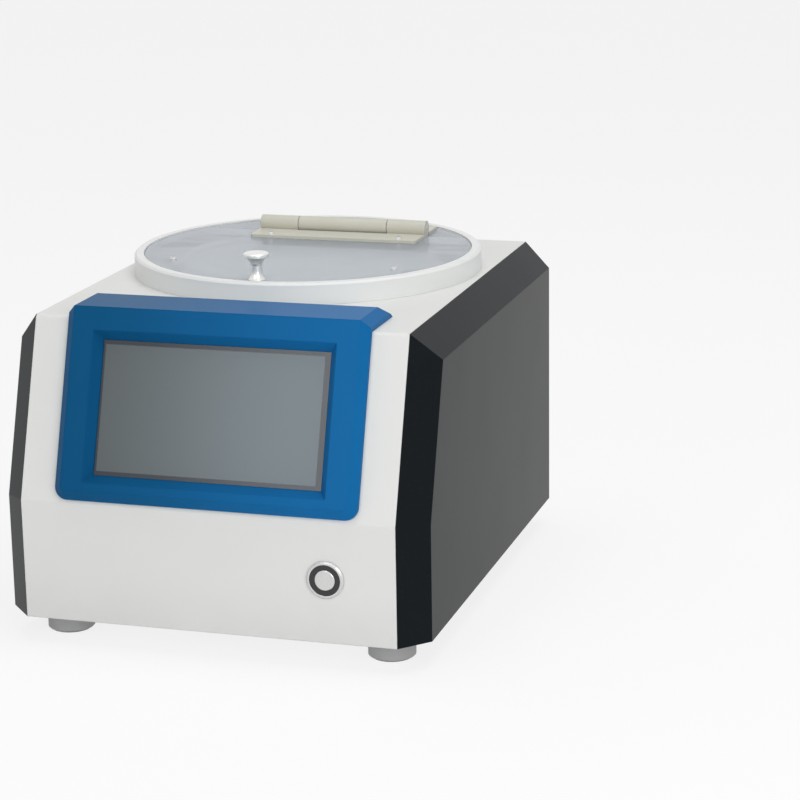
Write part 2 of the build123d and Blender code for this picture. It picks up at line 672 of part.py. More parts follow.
def display_module():
    """The panel behind the glass and its driver board on four pillars."""
    edge = 2 * (GLASS_BORDER - MODULE_INSET)
    front = GLASS_PROUD - GLASS_THICKNESS
    back = front - MODULE_DEPTH
    board_front = back - MODULE_PILLAR_LENGTH
    wide = SCREEN_WIDTH - 2 * MODULE_BOARD_SIDE
    tall = SCREEN_HEIGHT - 2 * MODULE_BOARD_END
    module = screen_box(SCREEN_WIDTH + edge, SCREEN_HEIGHT + edge, back, front)
    module += screen_box(wide, tall, board_front - MODULE_BOARD, board_front)
    pillar = Cylinder(MODULE_PILLAR / 2, MODULE_PILLAR_LENGTH, align=LOW)
    for x in (MODULE_PILLAR_INSET - wide / 2, wide / 2 - MODULE_PILLAR_INSET):
        for y in (MODULE_PILLAR_INSET - tall / 2, tall / 2 - MODULE_PILLAR_INSET):
            module += SCREEN_PLANE * Pos(x, y - SCREEN_MIDDLE, board_front) * pillar
    return module


def screen():
    border = 2 * GLASS_BORDER
    parts["screen_bezel"] = screen_bezel()
    parts["display_glass"] = screen_box(
        SCREEN_WIDTH + border, SCREEN_HEIGHT + border, GLASS_PROUD - GLASS_THICKNESS, GLASS_PROUD
    )
    parts["display_module"] = display_module()


# Push button: turned pieces about a line that points out of the lower front
def button():
    inner = (BUTTON_CAP + CLEAR) / 2
    outer = BUTTON_RING / 2
    bore = outer + CLEAR / 4
    barrel, flange = BUTTON_BARREL / 2, BUTTON_FLANGE / 2
    proud, depth = BUTTON_FLANGE_PROUD, BUTTON_RING_DEPTH
    stem = BUTTON_STEM / 2
    guide = stem + CLEAR
    ring_face = proud - BUTTON_RING_SUNK
    body = turned([
        (guide, -BUTTON_BARREL_LENGTH), (barrel, -BUTTON_BARREL_LENGTH), (barrel, 0), (flange, 0),
        (flange, proud - BUTTON_RIM_CHAMFER), (flange - BUTTON_RIM_CHAMFER, proud), (bore, proud), (bore, -depth),
        (inner, -depth), (inner, -BUTTON_STOP), (guide, -BUTTON_STOP),
    ], y=0)
    light = turned([(inner, -depth), (outer, -depth), (outer, ring_face), (inner, ring_face)], y=0)
    face = proud + BUTTON_CAP_PROUD
    under = face - BUTTON_CAP_HEIGHT
    cap = BUTTON_CAP / 2
    end = -BUTTON_STOP - BUTTON_STEM_LENGTH
    plunger = turned([
        (0, end), (stem, end), (stem, under), (cap, under), (cap, face - BUTTON_CAP_CHAMFER),
        (cap - BUTTON_CAP_CHAMFER, face), (0, face),
    ], y=0)
    nut = extrude(RegularPolygon(barrel + BUTTON_NUT_RIM, 6), -BUTTON_NUT_HEIGHT)
    coil = SPRING_DIAMETER / 2
    top = under - BUTTON_TRAVEL
    spring = turned([
        (coil - SPRING_WIRE, -BUTTON_STOP), (coil, -BUTTON_STOP), (coil, top), (coil - SPRING_WIRE, top),
    ], y=0)
    parts["power_button_body"] = BUTTON_PLACE * body
    parts["button_light_ring"] = BUTTON_PLACE * light
    parts["button_cap"] = BUTTON_PLACE * plunger
    parts["power_button_nut"] = BUTTON_PLACE * Pos(0, 0, -SHEET) * (nut - Cylinder(barrel, BUTTON_BARREL_LENGTH))
    parts["button_spring"] = BUTTON_PLACE * spring


# Process bowl and collar
def bowl_collar():
    """The ring that carries the lid: a rim round the lid and a ledge with a D-shaped opening."""
    seat = LID_RADIUS + CLEAR
    rim_top = LID_TOP_Z + COLLAR_LIP
    recess = BOWL_FLANGE_RADIUS + BOWL_GAP
    below, above = LEDGE_LOW_Z - OVERCUT, LEDGE_TOP_Z + OVERCUT
    collar = turned([
        (0, LEDGE_LOW_Z), (recess, LEDGE_LOW_Z), (recess, TOP_Z), (COLLAR_RADIUS, TOP_Z),
        (COLLAR_RADIUS, rim_top - COLLAR_CHAMFER), (COLLAR_RADIUS - COLLAR_CHAMFER, rim_top), (seat, rim_top),
        (seat, LEDGE_TOP_Z), (0, LEDGE_TOP_Z),
    ])
    behind_chord = block(-COLLAR_RADIUS, COLLAR_RADIUS, AXIS_Y + OPENING_CHORD, TOP_DEPTH, below, above)
    collar -= rod(2 * OPENING_RADIUS, below, above, y=AXIS_Y) - behind_chord
    for x, y in COLLAR_SCREW_PLACES:
        collar -= rod(SCREW, TOP_Z - OVERCUT, TOP_Z + COLLAR_SCREW_BITE + PILOT_EXTRA, x, y)
    for x, y in leaf_screw_places(1):
        collar -= rod(SCREW, below, above, x, y)
    for x, y in CATCH_PLACES:
        collar -= rod(MAGNET_DIAMETER, LEDGE_TOP_Z - MAGNET_HEIGHT, above, x, y)
    return collar


def splash_bowl():
    """The bowl's base: a floor that falls to an outer gutter, a hub for the spindle and a lip for the ring."""
    outer = BOWL_RADIUS + BOWL_WALL
    groove = outer - BOWL_LIP_WALL
    gutter = BOWL_RADIUS - DRAIN_BORE - GUTTER_EDGE
    hub = HUB_BORE + BOWL_WALL
    low = BOWL_FLOOR_Z
    under = low - BOWL_WALL
    step = low + BOWL_STEP
    bowl = turned([
        (HUB_BORE, under + BOWL_FALL), (gutter, under), (outer, under), (outer, step + BOWL_LIP),
        (groove, step + BOWL_LIP), (groove, step), (BOWL_RADIUS, step), (BOWL_RADIUS, low), (gutter, low),
        (hub, low + BOWL_FALL), (hub, HUB_TOP_Z), (HUB_BORE, HUB_TOP_Z),
    ])
    return bowl - rod(DRAIN_BORE, under - OVERCUT, low + OVERCUT, y=DRAIN_Y)


def splash_ring():
    """The bowl's upright wall, which hangs from its flange and stands in the lip of the base."""
    outer = BOWL_RADIUS + BOWL_WALL
    tongue = outer - BOWL_LIP_WALL - CLEAR / 2
    step = BOWL_FLOOR_Z + BOWL_STEP
    shoulder = step + BOWL_LIP + CLEAR / 2
    return turned([
        (BOWL_RADIUS, step), (tongue, step), (tongue, shoulder), (outer, shoulder), (outer, TOP_Z),
        (BOWL_FLANGE_RADIUS, TOP_Z), (BOWL_FLANGE_RADIUS, TOP_Z + BOWL_FLANGE),
        (BOWL_RADIUS, TOP_Z + BOWL_FLANGE),
    ])


def elbow(diameter, back):
    """A round bar from the gutter down and back along the drain's centre line."""
    top = BOWL_FLOOR_Z - BOWL_WALL
    bend = DRAIN_BORE / 2 + DRAIN_WALL + DRAIN_BEND_EXTRA
    path = FilletPolyline((0, DRAIN_Y, top), (0, DRAIN_Y, DRAIN_Z), (0, back, DRAIN_Z), radius=bend)
    return sweep(Plane(origin=(0, DRAIN_Y, top), z_dir=(0, 0, -1)) * Circle(diameter / 2), path)


def drain_pipe():
    """An elbow from the gutter down and out through the rear panel, with a flange and a spigot."""
    top = BOWL_FLOOR_Z - BOWL_WALL
    outer = DRAIN_BORE + 2 * DRAIN_WALL
    end = TOP_DEPTH + DRAIN_REACH
    pipe = elbow(outer, TOP_DEPTH + DRAIN_COLLAR)
    pipe += rod(outer + 2 * DRAIN_FLANGE_RIM, top - DRAIN_FLANGE, top, y=DRAIN_Y)
    pipe += rod_back(DRAIN_SPIGOT + 2 * DRAIN_COLLAR_RIM, TOP_DEPTH, TOP_DEPTH + DRAIN_COLLAR, 0, DRAIN_Z)
    pipe += rod_back(DRAIN_SPIGOT, TOP_DEPTH, end, 0, DRAIN_Z)
    return pipe - elbow(DRAIN_BORE, end)


def bowl():
    inner, outer = BOWL_RADIUS + GASKET_INNER, BOWL_FLANGE_RADIUS - GASKET_OUTER
    parts["bowl_collar"] = bowl_collar()
    parts["splash_bowl"] = splash_bowl()
    parts["splash_ring"] = splash_ring()
    parts["bowl_gasket"] = sleeve(2 * inner, 2 * outer, TOP_Z + BOWL_FLANGE, LEDGE_LOW_Z)
    parts["collar_screws"] = group(
        Pos(x, y, TOP_Z - SHEET) * Rot(180, 0, 0) * screw(SHEET + COLLAR_SCREW_BITE)
        for x, y in COLLAR_SCREW_PLACES
    )
    parts["catch_magnets"] = group(
        rod(MAGNET_DIAMETER, LEDGE_TOP_Z - MAGNET_HEIGHT, LEDGE_TOP_Z, x, y) for x, y in CATCH_PLACES
    )
    parts["drain_pipe"] = drain_pipe()


# Lid and hinge
def leaf_screw_places(side):
    """Screw places of the moving leaf for side -1, ahead of the pin, and of the fixed leaf for side 1."""
    reach = HINGE_HALF - LEAF_SCREW_END
    y = PIN_Y + side * (LEAF_REACH - LEAF_SCREW_EDGE)
    return [(HINGE_X - reach, y), (HINGE_X + reach, y)]


def lid_disc(side):
    """The lid's disc on one side of the hinge line."""
    low, high = LEDGE_TOP_Z - OVERCUT, LID_TOP_Z + OVERCUT
    reach = LID_RADIUS + OVERCUT
    gone = (PIN_Y - CLEAR, AXIS_Y + reach) if side < 0 else (AXIS_Y - reach, PIN_Y + CLEAR)
    disc = rod(2 * LID_RADIUS, LEDGE_TOP_Z, LID_TOP_Z, y=AXIS_Y) - block(-reach, reach, *gone, low, high)
    disc = chamfer(disc.faces().sort_by(Axis.Z)[-1].edges().filter_by(GeomType.CIRCLE), LID_CHAMFER)
    for x, y in leaf_screw_places(side):
        disc -= rod(SCREW, low, high, x, y)
    return disc


def lid_flap():
    flap = lid_disc(-1)
    for x, y in (*CATCH_PLACES, (0, KNOB_Y)):
        flap -= rod(SCREW, LEDGE_TOP_Z - OVERCUT, LID_TOP_Z + OVERCUT, x, y)
    return flap


def lid_knob():
    """A waisted turned knob."""
    base, waist, top = KNOB_BASE / 2, KNOB_WAIST / 2, KNOB_TOP / 2
    shoulder = KNOB_HEIGHT - KNOB_RIM
    side = Spline((base, KNOB_FOOT), (waist, KNOB_HEIGHT / 2), (top, shoulder))
    rest = Polyline(
        (top, shoulder), (top, KNOB_HEIGHT - KNOB_CHAMFER), (top - KNOB_CHAMFER, KNOB_HEIGHT),
        (0, KNOB_HEIGHT), (0, 0), (base, 0), (base, KNOB_FOOT),
    )
    knob = revolve(make_face(Plane.XZ * (side + rest)), Axis.Z)
    return Pos(0, KNOB_Y, LID_TOP_Z) * (knob - rod(SCREW, -OVERCUT, KNOB_SCREW_BITE + OVERCUT))


def hinge_leaf(side):
    """A leaf with its knuckles: the two outer ones ahead of the pin, or the middle one behind it."""
    inner = HINGE_HALF - KNUCKLE_END
    gap = CLEAR / 2
    outer_spans = [(-HINGE_HALF, -inner - gap), (inner + gap, HINGE_HALF)]
    spans = outer_spans if side < 0 else [(gap - inner, inner - gap)]
    far, near = side * LEAF_REACH, side * (BARREL / 2 + LEAF_GAP)
    low = -BARREL / 2
    leaf = block(-HINGE_HALF, HINGE_HALF, min(far, near), max(far, near), low, low + LEAF)
    rounded = [e for e in leaf.edges().filter_by(Axis.Z) if abs(e.center().Y - far) < NEAR]
    leaf = fillet(rounded, LEAF_CORNER)
    for x0, x1 in spans:
        leaf += rod_right(BARREL, x0, x1, 0, 0)
        leaf += block(x0, x1, min(far / 2, 0), max(far / 2, 0), low, low + LEAF)
    bore = HINGE_PIN + (2 * RUNNING if side < 0 else 0)
    leaf -= rod_right(bore, -HINGE_HALF - OVERCUT, HINGE_HALF + OVERCUT, 0, 0)
    leaf = Pos(HINGE_X, PIN_Y, PIN_Z) * leaf
    for x, y in leaf_screw_places(side):
        leaf -= rod(SCREW, LID_TOP_Z - OVERCUT, LID_TOP_Z + LEAF + OVERCUT, x, y)
    return leaf


def lid():
    leaf_top = LID_TOP_Z + LEAF
    through = LEAF + LID_THICKNESS
    parts["lid_flap"] = lid_flap()
    parts["lid_knob"] = lid_knob()
    parts["knob_screw"] = rod(SCREW, LEDGE_TOP_Z, LID_TOP_Z + KNOB_SCREW_BITE, 0, KNOB_Y)
    parts["lid_catch_screws"] = group(Pos(x, y, LID_TOP_Z) * lid_screw(LID_THICKNESS) for x, y in CATCH_PLACES)
    parts["hinge_moving_leaf"] = hinge_leaf(-1)
    parts["moving_leaf_screws"] = group(
        Pos(x, y, leaf_top) * lid_screw(through) for x, y in leaf_screw_places(-1)
    )
    parts["lid_rear_plate"] = lid_disc(1)
    parts["hinge_fixed_leaf"] = hinge_leaf(1)
    parts["fixed_leaf_screws"] = group(
        Pos(x, y, leaf_top) * lid_screw(through + LEDGE - LEAF_SCREW_SHORT) for x, y in leaf_screw_places(1)
    )
    parts["hinge_pin"] = rod_right(HINGE_PIN, HINGE_X - HINGE_HALF, HINGE_X + HINGE_HALF, PIN_Y, PIN_Z)


# Drive
def o_ring(outer):
    """The ring in the nose's groove, out to a diameter."""
    top = SPINDLE_TOP_Z - O_RING_BELOW
    return sleeve(SPINDLE_NOSE - 2 * O_RING_DEPTH, outer, top - O_RING_WIDTH, top)


def spindle_shaft():
    """The hollow shaft: nose for the chuck, shoulder, journals and the tail in the vacuum union."""
    bore, tail, journal = VACUUM_BORE / 2, SPINDLE_TAIL / 2, SPINDLE_JOURNAL / 2
    shoulder, nose = SPINDLE_SHOULDER / 2, SPINDLE_NOSE / 2
    low = UNION_TOP_Z - TAIL_DEPTH
    tail_top = MOTOR_BOTTOM_Z - TAIL_STEP
    step = NOSE_TOP_Z + OVERCUT
    shaft = turned([
        (bore, low), (tail, low), (tail, tail_top), (journal, tail_top), (journal, step), (shoulder, step),
        (shoulder, CHUCK_SEAT_Z), (nose, CHUCK_SEAT_Z), (nose, SPINDLE_TOP_Z), (bore, SPINDLE_TOP_Z),
    ])
    shaft -= o_ring(SPINDLE_SHOULDER)
    return shaft - rod_right(DRIVE_PIN, -SPINDLE_SHOULDER, SPINDLE_SHOULDER, AXIS_Y, CHUCK_SEAT_Z + DRIVE_PIN_RISE)


def vacuum_chuck():
    """The wafer plate with suction grooves, on a hub that drops over the spindle's nose and its pin."""
    radius, hub = CHUCK_DIAMETER / 2, CHUCK_HUB / 2
    top, under = CHUCK_TOP_Z, CHUCK_UNDER_Z
    chuck = turned([
        (0, under), (0, top), (radius - CHUCK_CHAMFER, top), (radius, top - CHUCK_CHAMFER),
        (radius, under + CHUCK_TAPER), (hub + CHUCK_NECK, under), (hub, under - CHUCK_NECK), (hub, CHUCK_SEAT_Z),
        (0, CHUCK_SEAT_Z),
    ])
    chuck -= rod(SPINDLE_NOSE + 2 * RUNNING, CHUCK_SEAT_Z - OVERCUT, under, y=AXIS_Y)
    chuck -= rod(VACUUM_BORE, under - OVERCUT, top + OVERCUT, y=AXIS_Y)
    reach = radius - GROOVE_EDGE
    for i in range(GROOVE_RINGS):
        middle = 2 * reach * (i + 1) / GROOVE_RINGS
        chuck -= sleeve(middle - GROOVE, middle + GROOVE, top - GROOVE, top + OVERCUT)
    for angle in (0, 90):
        chuck -= Pos(0, AXIS_Y, top) * Rot(0, 0, angle) * Box(2 * reach, GROOVE, 2 * GROOVE)
    wide = (DRIVE_PIN + CLEAR) / 2
    slot_top = CHUCK_SEAT_Z + DRIVE_PIN_RISE + DRIVE_PIN / 2 + DRIVE_SLOT_GAP
    return chuck - block(-CHUCK_HUB, CHUCK_HUB, AXIS_Y - wide, AXIS_Y + wide, CHUCK_SEAT_Z - OVERCUT, slot_top)


def motor_housing():
    """The motor can with its bearing nose and lower end, hollow round the stator and the rotor."""
    outer, inner = MOTOR_DIAMETER / 2, MOTOR_DIAMETER / 2 - MOTOR_WALL
    nose, seat, shaft = MOTOR_NOSE / 2, BEARING_DIAMETER / 2, SPINDLE_JOURNAL / 2 + SHAFT_GAP
    top, low = MOTOR_TOP_Z, MOTOR_BOTTOM_Z
    nose_seat = NOSE_TOP_Z - BEARING_HEIGHT
    low_seat = low + MOTOR_WALL
    can = turned([
        (shaft, low), (outer, low), (outer, top), (nose, top), (nose, NOSE_TOP_Z), (seat, NOSE_TOP_Z),
        (seat, nose_seat), (shaft, nose_seat), (shaft, top - MOTOR_TOP_WALL), (inner, top - MOTOR_TOP_WALL),
        (inner, low_seat + BEARING_HEIGHT), (seat, low_seat + BEARING_HEIGHT), (seat, low_seat), (shaft, low_seat),
    ])
    for x, y in MOTOR_SCREW_PLACES:
        can -= rod(SCREW, top - MOTOR_TOP_WALL + PILOT_EXTRA, top + OVERCUT, x, y)
    return can


def motor_stator():
    """A laminated ring with winding slots on its inner side."""
    outer = MOTOR_DIAMETER - 2 * MOTOR_WALL
    stator = sleeve(STATOR_BORE, outer, STATOR_LOW_Z, STATOR_TOP_Z)
    slot_end = (STATOR_BORE + (outer - STATOR_BORE) * STATOR_SLOT_SHARE) / 2 + OVERCUT
    wide = STATOR_SLOT_WIDTH / 2
    slot = block(ROTOR_RADIUS, slot_end, -wide, wide, STATOR_LOW_Z - OVERCUT, STATOR_TOP_Z + OVERCUT)
    for i in range(STATOR_SLOTS):
        stator -= Pos(0, AXIS_Y, 0) * Rot(0, 0, 360 * i / STATOR_SLOTS) * slot
    return stator


def bearing(z0):
    return sleeve(SPINDLE_JOURNAL + 2 * RUNNING, BEARING_DIAMETER, z0, z0 + BEARING_HEIGHT)


def motor_plate():
    wide, long = PLATE_WIDTH / 2, PLATE_HALF_LENGTH
    plate = block(-wide, wide, AXIS_Y - long, AXIS_Y + long, MOTOR_TOP_Z, PLATE_TOP_Z)
    plate = fillet(plate.edges().filter_by(Axis.Z), PLATE_CORNER)
    plate -= rod(MOTOR_NOSE + 2 * CLEAR, MOTOR_TOP_Z - OVERCUT, PLATE_TOP_Z + OVERCUT, y=AXIS_Y)
    for x, y in MOTOR_SCREW_PLACES:
        plate -= rod(SCREW + CLEAR, MOTOR_TOP_Z - OVERCUT, PLATE_TOP_Z + OVERCUT, x, y)
    return plate


def drive():
    pin = CHUCK_HUB / 2 - DRIVE_PIN_SHORT
    pin_z = CHUCK_SEAT_Z + DRIVE_PIN_RISE
    motor_screw = screw(PLATE_THICKNESS + MOTOR_TOP_WALL - MOTOR_SCREW_SHORT)
    parts["spindle_shaft"] = spindle_shaft()
    parts["vacuum_chuck"] = vacuum_chuck()
    parts["spindle_o_ring"] = o_ring(SPINDLE_NOSE)
    parts["drive_pin"] = rod_right(DRIVE_PIN, -pin, pin, AXIS_Y, pin_z) - rod(
        VACUUM_BORE, pin_z - DRIVE_PIN, pin_z + DRIVE_PIN, y=AXIS_Y
    )
    parts["motor_rotor"] = sleeve(
        SPINDLE_JOURNAL, 2 * ROTOR_RADIUS, STATOR_LOW_Z + ROTOR_SHORT, STATOR_TOP_Z - ROTOR_SHORT
    )
    parts["motor_housing"] = motor_housing()
    parts["motor_stator"] = motor_stator()
    parts["bearing_upper"] = bearing(NOSE_TOP_Z - BEARING_HEIGHT)
    parts["bearing_lower"] = bearing(MOTOR_BOTTOM_Z + MOTOR_WALL)
    parts["motor_plate"] = motor_plate()
    parts["motor_screws"] = group(Pos(x, y, PLATE_TOP_Z) * motor_screw for x, y in MOTOR_SCREW_PLACES)
    parts["plate_standoffs"] = group(
        rod(STANDOFF_DIAMETER, TRAY_Z, MOTOR_TOP_Z, x, y) for x, y in STANDOFF_PLACES
    )


# Vacuum line
def rotary_union():
    """The block round the spindle's tail, with a barb that takes the hose."""
    half = UNION_WIDTH / 2
    body = block(-half, half, AXIS_Y - half, AXIS_Y + half, TRAY_Z, UNION_TOP_Z)
    body = fillet(body.edges().filter_by(Axis.Z), UNION_CORNER)
    bore_low = UNION_TOP_Z - TAIL_DEPTH - OVERCUT
    body -= rod(SPINDLE_TAIL + 4 * RUNNING, bore_low, UNION_TOP_Z + OVERCUT, y=AXIS_Y)
    return body + rod_right(BARB_DIAMETER, half, half + BARB_LENGTH, AXIS_Y, LINE_Z)


def solenoid_valve():
    """A valve block with its coil on top, a barb towards the union and one towards the port."""
    x0, x1 = VALVE_X - VALVE_WIDTH / 2, VALVE_X + VALVE_WIDTH / 2
    y0, y1 = AXIS_Y - VALVE_LENGTH / 2, AXIS_Y + VALVE_LENGTH / 2
    top = LINE_Z + VALVE_ABOVE_LINE
    coil = block(x0 + COIL_SIDE, x1 - COIL_SIDE, y0 + COIL_END, y1 - COIL_END, top, top + COIL_HEIGHT)
    valve = block(x0, x1, y0, y1, TRAY_Z, top) + fillet(coil.edges().filter_by(Axis.Z), COIL_CORNER)
    valve += rod_right(BARB_DIAMETER, x0 - BARB_LENGTH, x0, AXIS_Y, LINE_Z)
    return valve + rod_back(BARB_DIAMETER, y1, y1 + BARB_LENGTH, VALVE_X, LINE_Z)


def vacuum_hoses():
    """One hose from the union across to the valve, and one from the valve back to the port."""
    x0 = UNION_WIDTH / 2 + HOSE_END
    x1 = VALVE_X - VALVE_WIDTH / 2 - HOSE_END
    y0 = AXIS_Y + VALVE_LENGTH / 2 + HOSE_END
    y1 = PORT_INNER_Y - HOSE_END
    across, back = [
        rod_right(diameter, x0, x1, AXIS_Y, LINE_Z) for diameter in (HOSE_DIAMETER, BARB_DIAMETER)
    ], [
        rod_back(diameter, y0, y1, VALVE_X, LINE_Z) for diameter in (HOSE_DIAMETER, BARB_DIAMETER)
    ]
    return group([across[0] - across[1], back[0] - back[1]])


def vacuum_port():
    """A bulkhead push-in fitting for the tube to the pump."""
    outer = PORT_DIAMETER / 2
    neck = outer - PORT_NECK - CLEAR
    tube = PORT_TUBE / 2 + HOSE_FIT
    end, low = PORT_REACH, -SHEET - PORT_NUT
    collet = outer - PORT_COLLET_STEP
    fitting = turned([
        (0, low), (outer, low), (outer, -SHEET), (neck, -SHEET), (neck, 0), (outer, 0), (outer, end - PORT_COLLET),
        (collet, end - PORT_COLLET), (collet, end), (tube, end), (tube, end - PORT_DEPTH), (0, end - PORT_DEPTH),
    ], y=0)
    placed = Pos(VALVE_X, TOP_DEPTH, LINE_Z) * Rot(-90, 0, 0) * fitting
    return placed + rod_back(BARB_DIAMETER, PORT_INNER_Y - BARB_LENGTH, PORT_INNER_Y, VALVE_X, LINE_Z)


# Electrics
def pin_box(x, z):
    back = INLET_PROUD - SOCKET_DEPTH
    wide, tall = PIN_WIDTH / 2, PIN_TALL / 2
    return block(x - wide, x + wide, back - PIN_TERMINAL, back + PIN_LENGTH, z - tall, z + tall)


def power_inlet():
    """A three-pole appliance inlet with its flange, body and socket."""
    ear, tall = INLET_WIDTH / 2 + INLET_EAR, INLET_TALL / 2
    body_x, body_z = INLET_WIDTH / 2 - INLET_BODY_INSET, tall - INLET_BODY_INSET
    socket_x, socket_z = body_x - SOCKET_WALL, body_z - SOCKET_WALL
    flange = fillet(block(-ear, ear, 0, INLET_PROUD, -tall, tall).edges().filter_by(Axis.Y), INLET_CORNER)
    body = block(-body_x, body_x, -SOCKET_DEPTH - INLET_BACK, OVERCUT, -body_z, body_z)
    socket = block(
        -socket_x, socket_x, INLET_PROUD - SOCKET_DEPTH, INLET_PROUD + OVERCUT, -socket_z, socket_z
    )
    upper = [e for e in socket.edges().filter_by(Axis.Y) if e.center().Z > 0]
    inlet = flange + body - chamfer(upper, SOCKET_CHAMFER)
    for x, z in PIN_PLACES:
        inlet -= pin_box(x, z)
    return Pos(INLET_X, TOP_DEPTH, INLET_Z) * inlet


def power_supply():
    """An enclosed supply on the tray, with a slotted cover, between the front foot and the plate's standoff."""
    x0 = SUPPLY_SIDE_GAP + 2 * SHEET - HALF
    x1 = x0 + SUPPLY_WIDTH
    y0, y1 = FOOT_FRONT_Y + SUPPLY_FOOT_GAP, STANDOFF_PLACES[0][1] - STANDOFF_DIAMETER
    top = TRAY_Z + SUPPLY_HEIGHT
    supply = block(x0, x1, y0, y1, TRAY_Z, top)
    for i in range(SUPPLY_VENTS):
        y = y0 + SUPPLY_VENT_START + SUPPLY_VENT_PITCH * i
        supply -= block(
            x0 + SUPPLY_VENT_EDGE, x1 - SUPPLY_VENT_EDGE, y, y + SUPPLY_VENT_TALL, top - SUPPLY_VENT_DEPTH,
            top + OVERCUT,
        )
    return supply


def control_board():
    """The motor and valve controller on pillars, with its larger components."""
    x1 = HALF - 2 * SHEET - BOARD_SIDE_GAP
    x0 = x1 - BOARD_WIDTH
    y0 = FOOT_FRONT_Y + BOARD_FOOT_GAP
    y1 = STANDOFF_PLACES[0][1] - STANDOFF_DIAMETER - BOARD_REAR_GAP
    low = TRAY_Z + BOARD_RAISED
    top = low + BOARD_THICKNESS
    board = block(x0, x1, y0, y1, low, top)
    for x in (x0 + BOARD_PILLAR_INSET, x1 - BOARD_PILLAR_INSET):
        for y in (y0 + BOARD_PILLAR_INSET, y1 - BOARD_PILLAR_INSET):
            board += rod(BOARD_PILLAR, TRAY_Z, low, x, y)
    for left, front, wide, deep, tall in (DRIVER_CHIP, CAPACITOR_BANK, RELAY, TERMINAL_ROW):
        board += block(x0 + left, x0 + left + wide, y0 + front, y0 + front + deep, top, top + tall)
    return board


def services():
    parts["rotary_union"] = rotary_union()
    parts["solenoid_valve"] = solenoid_valve()
    parts["vacuum_hoses"] = vacuum_hoses()
    parts["vacuum_port"] = vacuum_port()
    parts["power_inlet"] = power_inlet()
    parts["inlet_pins"] = group(Pos(INLET_X, TOP_DEPTH, INLET_Z) * pin_box(x, z) for x, z in PIN_PLACES)
    parts["power_supply"] = power_supply()
    parts["control_board"] = control_board()


casing()
feet()
screen()
button()
bowl()
lid()
drive()
services()

os.makedirs("parts", exist_ok=True)
for name, shape in parts.items():
    placed = [Pos(0, -MIDDLE_Y, 0) * solid for solid in shape.solids()]
    export_step(placed[0] if len(placed) == 1 else Compound(children=placed), f"parts/{name}.step")
print(len(parts), "nodes, middle of depth at", round(MIDDLE_Y, 3))
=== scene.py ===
# %% [markdown]
# # A bench spin coater, dressed around its fixed frame
#
# A spin coater spreads a thin liquid film over a wafer: the wafer sits on a vacuum chuck in a bowl, a motor
# turns it fast, and a clear lid keeps the spray in. The pieces are already modelled at their real size.
# This lesson gives them their finishes, adds the small repeated detail that a maker would notice, and sets
# up the light and the camera. It starts by loading the frame, whose pieces stay exactly where they are.

import math

import bpy
from mathutils import Matrix, Vector


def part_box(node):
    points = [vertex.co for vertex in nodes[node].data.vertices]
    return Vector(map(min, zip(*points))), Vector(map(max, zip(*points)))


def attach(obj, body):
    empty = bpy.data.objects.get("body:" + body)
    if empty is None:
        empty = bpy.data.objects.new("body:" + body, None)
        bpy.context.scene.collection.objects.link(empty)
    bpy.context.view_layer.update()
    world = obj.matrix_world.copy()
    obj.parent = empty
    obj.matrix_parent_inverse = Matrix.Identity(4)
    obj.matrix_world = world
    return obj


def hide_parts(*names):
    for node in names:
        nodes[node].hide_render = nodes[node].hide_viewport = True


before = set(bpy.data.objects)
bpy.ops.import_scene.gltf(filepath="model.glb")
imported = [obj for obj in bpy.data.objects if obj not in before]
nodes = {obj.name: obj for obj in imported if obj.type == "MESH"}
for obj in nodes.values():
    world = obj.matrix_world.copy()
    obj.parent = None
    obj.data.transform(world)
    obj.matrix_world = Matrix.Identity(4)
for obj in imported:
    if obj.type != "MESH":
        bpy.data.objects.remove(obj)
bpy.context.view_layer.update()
MM = 0.001

# %% [markdown]
# ## Shader maths that reads like arithmetic
#
# A material is a graph of nodes, and its maths soon gets hard to follow when every sum is a node made by
# hand. So a small class wraps the number that leaves a node, and Python's own signs add the Math nodes:
# `1 - mask` or `0.4 + 0.1 * cloud` builds the graph as it is written. Every other node comes from one
# method, which takes the node's type, its settings and what its sockets hold.

# %% A number that flows between nodes
class Flow:
    """A value that leaves a node. Arithmetic on it adds Math nodes to its tree."""

    def __init__(self, graph, socket):
        self.graph = graph
        self.socket = socket

    def maths(self, operation, first, second):
        return self.graph.node("ShaderNodeMath", {"operation": operation}, {0: first, 1: second})

    def __add__(self, other):
        return self.maths("ADD", self, other)

    def __radd__(self, other):
        return self.maths("ADD", other, self)

    def __sub__(self, other):
        return self.maths("SUBTRACT", self, other)

    def __rsub__(self, other):
        return self.maths("SUBTRACT", other, self)

    def __mul__(self, other):
        return self.maths("MULTIPLY", self, other)

    def __rmul__(self, other):
        return self.maths("MULTIPLY", other, self)

    def __truediv__(self, other):
        return self.maths("DIVIDE", self, other)

    def __pow__(self, other):
        return self.maths("POWER", self, other)

    def __gt__(self, other):
        return self.maths("GREATER_THAN", self, other)

    def at_least(self, other):
        return self.maths("MAXIMUM", self, other)

    def at_most(self, other):
        return self.maths("MINIMUM", self, other)


# %% A finish and its nodes
def find(sockets, key):
    """A socket by its place, its identifier or its name."""
    if isinstance(key, int):
        return sockets[key]
    return next(s for s in sockets if key in (s.identifier, s.name))


class Graph:
    """A node tree, with methods that add a node and feed its sockets from constants or other nodes."""

    def __init__(self, tree):
        self.tree = tree

    def feed(self, node, values):
        for key, value in values.items():
            socket = find(node.inputs, key)
            if isinstance(value, Flow):
                self.tree.links.new(value.socket, socket)
            elif socket.type == "RGBA":
                socket.default_value = (*value[:3], 1.0)
            else:
                socket.default_value = value

    def node(self, kind, settings=None, values=None, result=0):
        made = self.tree.nodes.new(kind)
        for key, value in (settings or {}).items():
            setattr(made, key, value)
        self.feed(made, values or {})
        return Flow(self, find(made.outputs, result))


